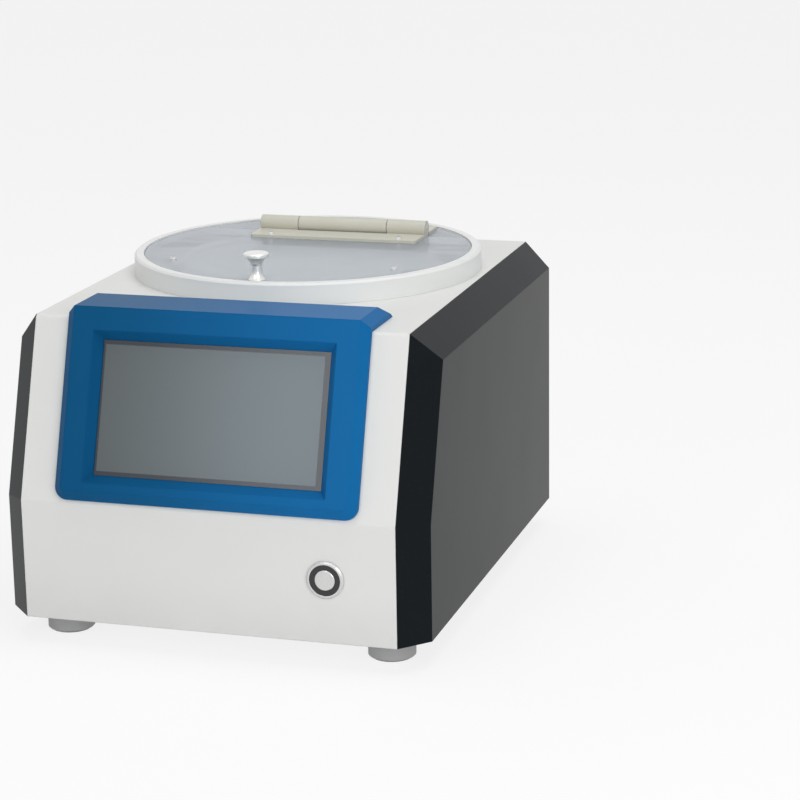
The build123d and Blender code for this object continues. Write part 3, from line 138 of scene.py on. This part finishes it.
class Finish(Graph):
    """One material: a surface shader with fixed values, and a method that adds what varies."""

    def __init__(self, name, fixed=None):
        self.material = bpy.data.materials.new(name)
        self.material.use_nodes = True
        super().__init__(self.material.node_tree)
        self.shader = self.tree.nodes["Principled BSDF"]
        self.feed(self.shader, fixed or {})

    def varies(self, **values):
        self.feed(self.shader, {key.replace("_", " "): value for key, value in values.items()})
        return self


# %% [markdown]
# ## Patterns that every finish shares
#
# The patterns read Object coordinates. Every piece has its origin at the middle of the table below it, so
# these are real metres on the real object, and a grain can be given its true size. The edges of the solids
# are sharp, but a pressed sheet or a moulding always has a small radius that catches the light. The Bevel
# node gives that radius to the shading alone and leaves the shape as it is.

# %% Shared patterns
def place(finish):
    return finish.node("ShaderNodeTexCoord", result="Object")


def vector_maths(graph, operation, first, second=(0.0, 0.0, 0.0), result="Vector"):
    return graph.node("ShaderNodeVectorMath", {"operation": operation}, {0: first, 1: second}, result)


def stretched(finish, scale, turn=(0.0, 0.0, 0.0)):
    """Object coordinates, turned and stretched."""
    values = {"Vector": place(finish), "Rotation": turn, "Scale": scale}
    return finish.node("ShaderNodeMapping", {"vector_type": "POINT"}, values)


def noise(finish, scale, detail=2.0, vector=None, distortion=0.0):
    values = {"Scale": scale, "Detail": detail, "Distortion": distortion, "Vector": vector or place(finish)}
    return finish.node("ShaderNodeTexNoise", None, values)


def along(finish, direction, vector=None):
    """How far a point lies in one direction, in metres."""
    return vector_maths(finish, "DOT_PRODUCT", vector or place(finish), direction, "Value")


def smooth(finish, value, low, high, start=0.0, end=1.0):
    """A soft step from start at low to end at high."""
    values = {"Value": value, "From Min": low, "From Max": high, "To Min": start, "To Max": end}
    return finish.node("ShaderNodeMapRange", {"interpolation_type": "SMOOTHSTEP"}, values)


def band(finish, value, low, high, soft):
    """One between low and high and nought outside, with soft edges."""
    rises = smooth(finish, value, low - soft, low + soft)
    falls = smooth(finish, value, high - soft, high + soft)
    return rises * (1.0 - falls)


def blend(finish, factor, first, second):
    """A colour between two others."""
    values = {"Factor_Float": factor, "A_Color": first, "B_Color": second}
    return finish.node("ShaderNodeMix", {"data_type": "RGBA"}, values, "Result_Color")


def radius_from(finish, centre, axes=(1.0, 1.0, 0.0)):
    """Distance from an upright axis through a centre, or from another axis."""
    moved = vector_maths(finish, "SUBTRACT", place(finish), centre)
    flat = vector_maths(finish, "MULTIPLY", moved, axes)
    return vector_maths(finish, "LENGTH", flat, result="Value")


BEVEL_SAMPLES = 4


def rounded(finish, radius):
    return finish.node("ShaderNodeBevel", {"samples": BEVEL_SAMPLES}, {"Radius": radius})


def relief(finish, height, strength, distance, edge=None):
    """A Normal input from a height pattern, on softened edges where a radius is given."""
    values = {"Strength": strength, "Distance": distance, "Height": height}
    if edge:
        values["Normal"] = rounded(finish, edge)
    return finish.node("ShaderNodeBump", None, values)


def dress(finish, *names):
    """Puts a finish on pieces of the frame."""
    for name in names:
        for slot in nodes[name].material_slots:
            slot.material = finish.material


# %% [markdown]
# ## The painted housing
#
# The housing is folded sheet steel with a powder coat. Powder flows out to a fine orange peel, about a
# millimetre from hill to hill, and it never dries to one even white: it is a touch warmer where it is
# thicker and a touch duller where hands rest. A faint grey gathers low down, where the table's dust lands.

# %% Powder coat
DUST_LOW, DUST_HIGH = 20 * MM, 60 * MM


def powder_coat():
    finish = Finish("powder_coat", {"IOR": 1.35})
    peel = noise(finish, 950.0, 2.0)
    cloud = noise(finish, 11.0, 3.0)
    hands = noise(finish, 34.0, 4.0, distortion=0.4)
    low = 1.0 - smooth(finish, along(finish, (0, 0, 1)), DUST_LOW, DUST_HIGH)
    paint = blend(finish, cloud, (0.735, 0.742, 0.722), (0.785, 0.790, 0.775))
    dusty = blend(finish, low * hands * 0.28, paint, (0.52, 0.51, 0.48))
    return finish.varies(
        Base_Color=dusty,
        Roughness=0.36 + 0.10 * cloud + 0.07 * peel + 0.05 * hands,
        Normal=relief(finish, peel, 0.16, 0.25 * MM, edge=0.9 * MM),
    )


PAINT = powder_coat()
dress(PAINT, "front_top_shell", "side_panel_left", "side_panel_right", "rear_panel")

# %% [markdown]
# ## The glossy black side covers
#
# The covers are thick black mouldings, polished in the mould. A gloss like that shows three things: the
# slow waves where the plastic sank over its bosses, a haze of hairline scratches from wiping, and a little
# dust. The waves bend the reflections, and the scratches and dust only change how sharp they are.

# %% Black moulding
def black_moulding():
    finish = Finish("black_moulding", {"IOR": 1.12})
    sink = noise(finish, 9.0, 1.0)
    wiped = noise(finish, 60.0, 3.0, stretched(finish, (1.0, 9.0, 60.0), (0.35, 0.0, 0.0)))
    dust = noise(finish, 1900.0, 1.0) > 0.74
    cloud = noise(finish, 15.0, 4.0)
    black = blend(finish, cloud, (0.0070, 0.0090, 0.0110), (0.0105, 0.0130, 0.0155))
    speckled = blend(finish, dust * 0.25, black, (0.16, 0.16, 0.17))
    return finish.varies(
        Base_Color=speckled,
        Roughness=0.10 + 0.12 * wiped * wiped + 0.05 * cloud + 0.10 * dust,
        Normal=relief(finish, sink, 0.30, 2.0 * MM, edge=0.7 * MM),
    )


BLACK = black_moulding()
dress(BLACK, "side_cover_left", "side_cover_right")

# %% [markdown]
# ## The blue bezel
#
# The bezel is dyed right through, so it never shows another colour where it is rubbed. Its mould had a
# fine spark-eroded grain, which makes it satin: the grain scatters the highlight and the high spots of the
# edges are polished a little by touch. Its blue is painted darker to the left and paler to the right,
# as painted shade and painted light.

# %% Blue moulding
# How far each side of the middle the painted shade and light on the bezel reach.
PAINTED_SHADE_REACH = 100 * MM


def blue_moulding():
    finish = Finish("blue_moulding", {"IOR": 1.12})
    grain = noise(finish, 2600.0, 2.0)
    pits = noise(finish, 900.0, 1.0)
    cloud = noise(finish, 14.0, 3.0)
    # Painted shade and light: the blue is darker towards the left and paler towards the right, across the
    # face.
    painted_light_side = smooth(finish, along(finish, (1, 0, 0)), -PAINTED_SHADE_REACH, PAINTED_SHADE_REACH)
    shaded_side_blue = blend(finish, cloud, (0.0030, 0.078, 0.200), (0.0045, 0.090, 0.225))
    light = blend(finish, cloud, (0.0055, 0.124, 0.340), (0.0080, 0.142, 0.375))
    blue = blend(finish, painted_light_side, shaded_side_blue, light)
    return finish.varies(
        Base_Color=blue,
        Roughness=0.27 + 0.10 * grain + 0.06 * cloud,
        Normal=relief(finish, grain + 0.4 * pits, 0.14, 0.12 * MM, edge=1.3 * MM),
    )


BLUE = blue_moulding()
dress(BLUE, "screen_bezel")

# %% [markdown]
# ## The screen, switched off
#
# The glass is one sheet over the whole screen, printed black round its border from behind. The grey of an
# unlit liquid crystal panel shows inside the print, paled towards the right by a painted reflection. The
# print's edge is found from two distances on the slope: how far right, and how far down from the glass's
# middle. The slope's own direction is worked out from the glass's box, in small steps, since the glass's
# thickness adds a little to both of its sides.

# %% Where the slope runs
glass_low, glass_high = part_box("display_glass")
glass_rise = glass_high[2] - glass_low[2]
glass_run = glass_high[1] - glass_low[1]
GLASS_THICKNESS = 2.0 * MM
SETTLING_STEPS = 20
slope_angle = math.atan2(glass_run, glass_rise)
for step in range(SETTLING_STEPS):
    run = glass_run - GLASS_THICKNESS * math.cos(slope_angle)
    rise = glass_rise - GLASS_THICKNESS * math.sin(slope_angle)
    slope_angle = math.atan2(run, rise)
DOWN = Vector((0.0, -math.sin(slope_angle), -math.cos(slope_angle)))
glass_middle = (Vector(glass_low) + Vector(glass_high)) / 2
print("the screen slopes", round(math.degrees(slope_angle), 2), "degrees")

# %% Display glass
LIT_LEFT = -77.5 * MM
LIT_RIGHT = 75.0 * MM
LIT_LENGTH = 84.0 * MM
PRINT_SOFT = 0.4 * MM
# Where the painted reflection across the screen begins and where it is full.
PAINTED_REFLECTION_FROM, PAINTED_REFLECTION_TO = -85 * MM, 60 * MM


def display():
    finish = Finish("display")
    across = along(finish, (1, 0, 0))
    centred = vector_maths(finish, "SUBTRACT", place(finish), tuple(glass_middle))
    down = along(finish, tuple(DOWN), centred)
    lit = band(finish, across, LIT_LEFT, LIT_RIGHT, PRINT_SOFT)
    lit = lit * band(finish, down, -LIT_LENGTH / 2, LIT_LENGTH / 2, PRINT_SOFT)
    etch = noise(finish, 5200.0, 1.0)
    smear = noise(finish, 26.0, 4.0, distortion=0.6)
    # Painted reflection: the switched-off panel is painted paler from the left towards the right.
    panel_without_painted_reflection = blend(finish, smear * 0.5, (0.070, 0.088, 0.092), (0.085, 0.103, 0.108))
    panel_with_painted_reflection = blend(finish, smear * 0.5, (0.140, 0.176, 0.196), (0.160, 0.198, 0.218))
    panel = blend(finish, smooth(finish, across, PAINTED_REFLECTION_FROM, PAINTED_REFLECTION_TO), panel_without_painted_reflection, panel_with_painted_reflection)
    face = blend(finish, lit, (0.010, 0.018, 0.030), panel)
    return finish.varies(
        Base_Color=face,
        Roughness=0.16 + 0.14 * lit + 0.06 * smear,
        Normal=relief(finish, etch, 0.05, 0.05 * MM, edge=0.3 * MM),
    )


DISPLAY = display()
dress(DISPLAY, "display_glass")

# %% [markdown]
# ## Turned and moulded whites
#
# The collar under the lid is turned from a block of white plastic, so fine tool marks run round it. The
# bowl below is the same family of plastic, vacuum formed and smoother, and the drain pipe matches it. The
# tool marks are a sine of the distance from the spin axis: rings need no texture, only that distance.

# %% Turned plastic
chuck_low, chuck_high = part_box("vacuum_chuck")
SPIN = ((chuck_low[0] + chuck_high[0]) / 2, (chuck_low[1] + chuck_high[1]) / 2, 0.0)


def rings(finish, centre, pitch, axes=(1.0, 1.0, 0.0)):
    """Tool marks: a wave of the distance from an axis, between nought and one."""
    reach = radius_from(finish, centre, axes)
    wave = finish.node("ShaderNodeMath", {"operation": "SINE"}, {0: reach * (math.tau / pitch)})
    return 0.5 + 0.5 * wave


def turned_plastic():
    finish = Finish("turned_plastic", {"Specular IOR Level": 0.45})
    marks = rings(finish, SPIN, 0.55 * MM)
    cloud = noise(finish, 13.0, 3.0)
    stain = smooth(finish, noise(finish, 6.0, 2.0), 0.52, 0.78)
    white = blend(finish, cloud, (0.770, 0.785, 0.775), (0.835, 0.845, 0.835))
    aged = blend(finish, stain * 0.30, white, (0.74, 0.71, 0.60))
    return finish.varies(
        Base_Color=aged,
        Roughness=0.34 + 0.12 * cloud + 0.05 * marks,
        Normal=relief(finish, marks, 0.10, 0.06 * MM, edge=0.8 * MM),
    )


def bowl_plastic():
    finish = Finish("bowl_plastic")
    cloud = noise(finish, 17.0, 4.0)
    streak = noise(finish, 30.0, 3.0, stretched(finish, (1.0, 1.0, 0.06)))
    white = blend(finish, cloud, (0.60, 0.64, 0.67), (0.70, 0.73, 0.75))
    marked = blend(finish, smooth(finish, streak, 0.55, 0.8) * 0.25, white, (0.45, 0.47, 0.48))
    return finish.varies(
        Base_Color=marked,
        Roughness=0.26 + 0.14 * cloud + 0.10 * streak,
        Normal=relief(finish, noise(finish, 420.0, 2.0), 0.08, 0.15 * MM, edge=0.8 * MM),
    )


COLLAR = turned_plastic()
BOWL = bowl_plastic()
dress(COLLAR, "bowl_collar")
dress(BOWL, "splash_bowl", "splash_ring", "drain_pipe")

# %% [markdown]
# ## The clear lid
#
# The lid is cast acrylic. Seen flat it is nearly clear, with a cold tint and a haze of fine wipe marks.
# Its sawn and polished edge gathers light and looks like pale frosted glass. Alpha does both: low on the
# faces, high on the edge, and the faces are told from the edge by which way they point.

# %% Clear acrylic
def clear_acrylic():
    finish = Finish("clear_acrylic", {"IOR": 1.49})
    facing = finish.node("ShaderNodeNewGeometry", result="Normal")
    upright = along(finish, (0, 0, 1), facing)
    flat = smooth(finish, upright * upright, 0.35, 0.8)
    haze = noise(finish, 16.0, 4.0, distortion=0.5)
    wiped = noise(finish, 40.0, 3.0, stretched(finish, (30.0, 1.5, 1.0), (0.0, 0.0, 0.5)))
    body = blend(finish, haze, (0.640, 0.700, 0.770), (0.690, 0.745, 0.810))
    tint = blend(finish, flat, (0.78, 0.82, 0.85), body)
    return finish.varies(
        Base_Color=tint,
        Roughness=0.05 + 0.05 * haze + 0.05 * wiped * wiped + 0.25 * (1.0 - flat),
        Alpha=0.80 - 0.30 * flat + 0.08 * haze,
        Normal=relief(finish, wiped, 0.04, 0.05 * MM),
    )


ACRYLIC = clear_acrylic()
dress(ACRYLIC, "lid_flap", "lid_rear_plate")

# %% [markdown]
# ## Beige hinge, grey feet and black fittings
#
# The hinge is a moulded friction hinge in warm beige with a satin skin. The feet are a dense grey rubber
# mix, the pads under them softer and darker. These small mouldings share one recipe with different colours:
# a base and a second shade, a grain of a given size, and how rough they are.

# %% One recipe for small mouldings
def moulding(name, first, second, grain, rough, edge, depth=0.10, specular=0.5):
    finish = Finish(name, {"Specular IOR Level": specular})
    texture = noise(finish, grain, 2.0)
    cloud = noise(finish, 28.0, 3.0)
    return finish.varies(
        Base_Color=blend(finish, cloud, first, second),
        Roughness=rough + 0.10 * cloud + 0.08 * texture,
        Normal=relief(finish, texture, 0.18, depth * MM, edge=edge * MM),
    )


BEIGE = moulding("hinge_beige", (0.545, 0.535, 0.455), (0.615, 0.605, 0.525), 1500.0, 0.34, 0.7)
FOOT = moulding("foot_grey", (0.420, 0.422, 0.420), (0.480, 0.482, 0.478), 1200.0, 0.48, 0.8, 0.15)
RUBBER = moulding("soft_rubber", (0.018, 0.018, 0.018), (0.032, 0.031, 0.030), 1700.0, 0.70, 0.3, 0.12, 0.3)
FITTING = moulding("black_fitting", (0.020, 0.020, 0.021), (0.032, 0.032, 0.033), 1900.0, 0.36, 0.5)
BOARD = moulding("circuit_board", (0.010, 0.085, 0.030), (0.014, 0.120, 0.045), 900.0, 0.38, 0.2)
TUBE = moulding("vacuum_tube", (0.030, 0.120, 0.330), (0.045, 0.160, 0.400), 700.0, 0.22, 0.2)
SMOKED = moulding("smoked_ring", (0.016, 0.016, 0.018), (0.030, 0.030, 0.033), 2400.0, 0.16, 0.2)
dress(BEIGE, "hinge_moving_leaf", "hinge_fixed_leaf")
dress(FOOT, "foot_front_left", "foot_front_right", "foot_rear_left", "foot_rear_right")
dress(RUBBER, "foot_pads", "bowl_gasket", "spindle_o_ring")
dress(FITTING, "power_inlet", "solenoid_valve", "display_module")
dress(BOARD, "control_board")
dress(TUBE, "vacuum_hoses")
dress(SMOKED, "button_light_ring")

# %% [markdown]
# ## Metals
#
# Metal is told by its highlights, so each one is metallic with its own marks: a lathe leaves rings round
# the axis, a mill or a roller leaves straight lines, and a casting is rough all over. The lathe recipe
# takes the axis that the piece was turned about, read from the frame, so that every ring is concentric.

# %% Turned metal
HANDLED_SHADE = 0.86


def turned_metal(name, axis, axes, colour, pitch, rough):
    finish = Finish(name, {"Metallic": 1.0})
    marks = rings(finish, axis, pitch * MM, axes)
    handled = noise(finish, 90.0, 4.0, distortion=0.4)
    duller = tuple(HANDLED_SHADE * c for c in colour)
    return finish.varies(
        Base_Color=blend(finish, handled, colour, duller),
        Roughness=rough + 0.12 * handled + 0.05 * marks,
        Normal=relief(finish, marks + 0.3 * handled, 0.12, 0.05 * MM, edge=0.25 * MM),
    )


def middle(name):
    low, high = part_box(name)
    return tuple((a + b) / 2 for a, b in zip(low, high))


STEEL_COLOUR = (0.62, 0.625, 0.63)
ALUMINIUM_COLOUR = (0.74, 0.745, 0.75)
UPRIGHT = (1.0, 1.0, 0.0)
FRONTWARD = (1.0, 0.0, 1.0)
SIDEWAYS = (0.0, 1.0, 1.0)
KNOB = turned_metal("turned_knob", middle("lid_knob"), UPRIGHT, (0.80, 0.80, 0.78), 0.32, 0.27)
CHUCK = turned_metal("turned_chuck", SPIN, UPRIGHT, ALUMINIUM_COLOUR, 0.35, 0.22)
SHAFT = turned_metal("ground_shaft", SPIN, UPRIGHT, STEEL_COLOUR, 0.25, 0.18)
BUTTON = turned_metal("button_steel", middle("button_cap"), FRONTWARD, (0.70, 0.70, 0.69), 0.28, 0.18)
PIN = turned_metal("hinge_pin_steel", middle("hinge_pin"), SIDEWAYS, STEEL_COLOUR, 0.25, 0.22)
dress(KNOB, "lid_knob")
dress(CHUCK, "vacuum_chuck")
dress(SHAFT, "spindle_shaft", "bearing_upper", "bearing_lower", "motor_rotor", "drive_pin")
dress(BUTTON, "power_button_body", "button_cap", "power_button_nut", "button_spring")
dress(PIN, "hinge_pin")

# %% Rolled, cast and plated metal
PATCH_SHADE = 0.8


def rolled_metal(name, colour, rough, grain=(1.0, 40.0, 40.0)):
    finish = Finish(name, {"Metallic": 1.0})
    lines = noise(finish, 120.0, 3.0, stretched(finish, grain))
    patches = noise(finish, 55.0, 2.0)
    duller = tuple(PATCH_SHADE * c for c in colour)
    return finish.varies(
        Base_Color=blend(finish, patches, colour, duller),
        Roughness=rough + 0.16 * lines + 0.08 * patches,
        Normal=relief(finish, lines, 0.12, 0.06 * MM, edge=0.3 * MM),
    )


ZINC = rolled_metal("zinc_sheet", (0.56, 0.575, 0.59), 0.30)
MILLED = rolled_metal("milled_aluminium", ALUMINIUM_COLOUR, 0.26)
SCREW_STEEL = rolled_metal("screw_steel", STEEL_COLOUR, 0.20, (1.0, 1.0, 1.0))
IRON = rolled_metal("laminated_iron", (0.30, 0.30, 0.31), 0.42, (1.0, 1.0, 60.0))
NICKEL = rolled_metal("nickel_plate", (0.66, 0.63, 0.57), 0.16, (1.0, 1.0, 1.0))
dress(ZINC, "base_tray", "power_supply")
dress(MILLED, "motor_plate", "motor_housing", "rotary_union")
dress(IRON, "motor_stator")
dress(NICKEL, "vacuum_port", "inlet_pins", "catch_magnets")
dress(
    SCREW_STEEL, "cover_screws", "panel_screws", "collar_screws", "knob_screw", "lid_catch_screws",
    "moving_leaf_screws", "fixed_leaf_screws", "motor_screws", "foot_screws", "plate_standoffs",
)

# %% [markdown]
# ## Shapes that follow a rule
#
# Some pieces repeat or follow a formula, and geometry nodes make those: the screws of the lid and its hinge,
# which are one button head with a hexagon socket, set at each place and turned by its own random angle, and
# the knob, whose radius is a rule of its height. Each tree has named sizes. The places and the outer sizes
# are read from the frame, so the grown shapes sit exactly where the plain ones sat.

# %% A geometry tree and what it grows
SHARP_ANGLE = math.radians(32.0)


class Form(Graph):
    """One geometry tree with named sizes, which grows a mesh from points."""

    def __init__(self, name, *sizes):
        super().__init__(bpy.data.node_groups.new(name, "GeometryNodeTree"))
        self.name = name
        self.tree.interface.new_socket("Geometry", in_out="OUTPUT", socket_type="NodeSocketGeometry")
        self.tree.interface.new_socket("Points", in_out="INPUT", socket_type="NodeSocketGeometry")
        for size in sizes:
            self.tree.interface.new_socket(size, in_out="INPUT", socket_type="NodeSocketFloat")
        self.given = self.tree.nodes.new("NodeGroupInput")
        self.result = self.tree.nodes.new("NodeGroupOutput")

    def size(self, name):
        return Flow(self, self.given.outputs[name])

    def vector(self, x=0.0, y=0.0, z=0.0):
        return self.node("ShaderNodeCombineXYZ", values={"X": x, "Y": y, "Z": z})

    def cylinder(self, sides, radius, depth, levels=1):
        values = {"Vertices": sides, "Side Segments": levels, "Radius": radius, "Depth": depth}
        return self.node("GeometryNodeMeshCylinder", None, values)

    def lifted(self, shape, z):
        values = {"Geometry": shape, "Translation": self.vector(z=z)}
        return self.node("GeometryNodeTransform", None, values)

    def ends_with(self, shape, finish, turn=0.0):
        """Sets the shape at every point, turned about its own axis, as one mesh in one finish."""
        placed = self.node("GeometryNodeInstanceOnPoints", values={
            "Points": self.size("Points"), "Instance": shape, "Rotation": self.vector(z=turn),
        })
        whole = self.node("GeometryNodeRealizeInstances", values={0: placed})
        dressed = self.node("GeometryNodeSetMaterial", values={0: whole, "Material": finish.material})
        self.feed(self.result, {0: dressed})

    def grow(self, name, points, sizes):
        seed = bpy.data.meshes.new(name)
        seed.from_pydata(points, [], [])
        thing = bpy.data.objects.new(name, seed)
        bpy.context.scene.collection.objects.link(thing)
        modifier = thing.modifiers.new(self.name, "NODES")
        modifier.node_group = self.tree
        for item in self.tree.interface.items_tree:
            if item.in_out == "INPUT" and item.name in sizes:
                modifier[item.identifier] = sizes[item.name]
        ready = thing.evaluated_get(bpy.context.evaluated_depsgraph_get())
        grown = bpy.data.meshes.new_from_object(ready)
        thing.modifiers.remove(modifier)
        thing.data = grown
        bpy.data.meshes.remove(seed)
        grown.shade_smooth()
        grown.set_sharp_from_angle(angle=SHARP_ANGLE)
        return thing


# %% Socket screws
HEAD_HEIGHT = 1.4 * MM
SOCKET_SHARE = 0.42
CROWN_SHARE = 0.70
SHANK_SHARE = 0.53
SOCKET_LIFT = 0.6
HEAD_SIDES, SOCKET_SIDES, SHANK_SIDES = 48, 6, 24
TURN_SEED = 5


def socket_screw():
    form = Form("socket_screw", "Head Radius", "Head Height", "Socket Radius", "Length")
    radius, height, length = form.size("Head Radius"), form.size("Head Height"), form.size("Length")
    dome = form.node("GeometryNodeMeshCone", values={
        "Vertices": HEAD_SIDES, "Radius Top": radius * CROWN_SHARE, "Radius Bottom": radius, "Depth": height,
    })
    cut = form.cylinder(SOCKET_SIDES, form.size("Socket Radius"), height)
    meshes = {"Mesh 1": dome, "Mesh 2": form.lifted(cut, height * SOCKET_LIFT)}
    head = form.node("GeometryNodeMeshBoolean", {"operation": "DIFFERENCE"}, meshes)
    shank = form.lifted(form.cylinder(SHANK_SIDES, radius * SHANK_SHARE, length), length * -0.5)
    whole = form.node("GeometryNodeJoinGeometry", values={0: head})
    form.feed(whole.socket.node, {0: shank})
    turn = form.node("FunctionNodeRandomValue", {"data_type": "FLOAT"}, {
        "Min_001": 0.0, "Max_001": math.tau, "Seed": TURN_SEED,
    }, result=1)
    form.ends_with(whole, SCREW_STEEL, turn)
    return form


SOCKET_SCREW = socket_screw()
for name, body in (("lid_catch_screws", "lid"), ("moving_leaf_screws", "lid"), ("fixed_leaf_screws", "root")):
    low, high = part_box(name)
    radius = (high[1] - low[1]) / 2
    seat = high[2] - HEAD_HEIGHT
    points = [(x, middle(name)[1], seat) for x in (low[0] + radius, high[0] - radius)]
    screws = SOCKET_SCREW.grow("socket_" + name, points, {
        "Head Radius": radius, "Head Height": HEAD_HEIGHT, "Socket Radius": radius * SOCKET_SHARE,
        "Length": seat - low[2],
    })
    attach(screws, body)
    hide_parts(name)

# %% Waisted knob
WAIST_SHARE = 0.45
BASE_SHARE = 0.66
RIM_START = 0.72
ROUNDING_START = 0.93
ROUNDING_SHARE = 0.9
TOP_CURVE = 2.6
BASE_CURVE = 4.0
KNOB_SIDES, KNOB_LEVELS = 96, 72


def waisted_knob():
    form = Form("waisted_knob", "Radius", "Height", "Base Radius", "Waist Radius")
    radius, height = form.size("Radius"), form.size("Height")
    base, waist = form.size("Base Radius"), form.size("Waist Radius")
    tube = form.cylinder(KNOB_SIDES, 1.0, height, KNOB_LEVELS)
    point = form.node("GeometryNodeInputPosition")
    level = form.node("ShaderNodeSeparateXYZ", values={0: point}, result=2) * 2.0 / height
    above = level.at_least(0.0).at_most(RIM_START) * (1.0 / RIM_START)
    below = (level * -1.0).at_least(0.0)
    reach = waist + (radius - waist) * above ** TOP_CURVE + (base - waist) * below ** BASE_CURVE
    reach = reach - radius * (level - ROUNDING_START).at_least(0.0) * ROUNDING_SHARE
    spot = vector_maths(form, "MULTIPLY", point, form.vector(reach, reach, 1.0))
    turned = form.node("GeometryNodeSetPosition", values={"Geometry": tube, "Position": spot})
    form.ends_with(turned, KNOB)
    return form


knob_low, knob_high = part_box("lid_knob")
knob_radius = (knob_high[0] - knob_low[0]) / 2
knob = waisted_knob().grow("waisted_lid_knob", [middle("lid_knob")], {
    "Radius": knob_radius, "Height": knob_high[2] - knob_low[2],
    "Base Radius": knob_radius * BASE_SHARE, "Waist Radius": knob_radius * WAIST_SHARE,
})
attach(knob, "lid")
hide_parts("lid_knob")

# %% [markdown]
# ## The table and the light
#
# The object stands on a plain pale table that runs out of sight. Three soft lamps and an even sky light
# it at a plain level. A camera, a mirror or a clear lid sees the table and the sky as white, but what the
# sky gives to matt surfaces is lower, so that the whites of the object keep their shading.

# %% Table
WHITE = (1.0, 1.0, 1.0)
TABLE_GLOW = 0.80


def seen_directly(graph):
    """One for the rays of the camera, of reflections and of clear pieces, and nought for matt light."""
    kinds = ("Is Camera Ray", "Is Glossy Ray", "Is Transmission Ray")
    rays = [graph.node("ShaderNodeLightPath", result=kind) for kind in kinds]
    return (rays[0] + rays[1] + rays[2]).at_most(1.0)


def table_top():
    finish = Finish("table_top", {"Roughness": 0.6, "Specular IOR Level": 0.1})
    cloud = noise(finish, 3.0, 2.0)
    finish.varies(Base_Color=blend(finish, cloud, (0.90, 0.90, 0.90), (0.93, 0.93, 0.93)))
    mixed = finish.node("ShaderNodeMixShader", values={
        0: seen_directly(finish) * TABLE_GLOW,
        1: Flow(finish, finish.shader.outputs[0]),
        2: finish.node("ShaderNodeEmission"),
    })
    output = next(n for n in finish.tree.nodes if n.type == "OUTPUT_MATERIAL")
    finish.feed(output, {"Surface": mixed})
    return finish


TABLE_REACH = 14.0
bpy.ops.mesh.primitive_grid_add(x_subdivisions=2, y_subdivisions=2, size=2 * TABLE_REACH)
table = bpy.context.object
table.name = "table"
table.data.materials.append(table_top().material)

# %% Sky
SKY_FOR_MATT = 0.42
world = bpy.data.worlds.new("soft_sky")
bpy.context.scene.world = world
world.use_nodes = True
sky = Graph(world.node_tree)
strength = SKY_FOR_MATT + (1.0 - SKY_FOR_MATT) * seen_directly(sky)
sky.feed(sky.tree.nodes["Background"], {"Color": WHITE, "Strength": strength})

# %% Lamps
def soft_lamp(name, spot, aim, size, power):
    lamp = bpy.data.lights.new(name, "AREA")
    lamp.shape = "RECTANGLE"
    lamp.size, lamp.size_y = size
    lamp.energy = power
    stand = bpy.data.objects.new(name, lamp)
    stand.location = spot
    stand.rotation_euler = (Vector(aim) - Vector(spot)).to_track_quat("-Z", "Y").to_euler()
    stand.visible_camera = False
    bpy.context.collection.objects.link(stand)


soft_lamp("overhead_lamp", (0.2, 0.0, 1.9), (0.0, 0.0, 0.1), (1.4, 1.4), 13.5)
soft_lamp("front_lamp", (0.85, -1.05, 0.55), (0.0, -0.1, 0.12), (0.6, 0.7), 5.0)
soft_lamp("window_lamp", (-0.43, -1.9, 0.95), (0.0, -0.1, 0.16), (0.48, 0.9), 4.5)

# %% [markdown]
# ## The camera
#
# The photograph was taken from the front and a little to the right, from above, with a long lens. The place
# and angles below were solved from the housing's corners, the lid's circle and the screen together. A camera
# looks along its own minus Z, so its matrix is built from the three directions right, up and back.

# %% Camera
CAMERA_PLACE = Vector((0.5803, -1.6503, 0.5915))
YAW = math.radians(16.84)
PITCH = math.radians(14.79)
ROLL = math.radians(-0.92)
LENS = 114.1
SENSOR = 36.0
FAR_CLIP = 60.0

forward = Vector((-math.sin(YAW) * math.cos(PITCH), math.cos(YAW) * math.cos(PITCH), -math.sin(PITCH)))
level_right = Vector((math.cos(YAW), math.sin(YAW), 0.0))
level_up = level_right.cross(forward)
right = math.cos(ROLL) * level_right + math.sin(ROLL) * level_up
up = math.cos(ROLL) * level_up - math.sin(ROLL) * level_right

lens = bpy.data.cameras.new("camera")
lens.lens = LENS
lens.sensor_width = SENSOR
lens.clip_end = FAR_CLIP
camera = bpy.data.objects.new("camera", lens)
bpy.context.collection.objects.link(camera)
turn = Matrix((right, up, -forward)).transposed()
camera.matrix_world = Matrix.Translation(CAMERA_PLACE) @ turn.to_4x4()
bpy.context.scene.camera = camera
bpy.context.scene.view_settings.view_transform = "Standard"
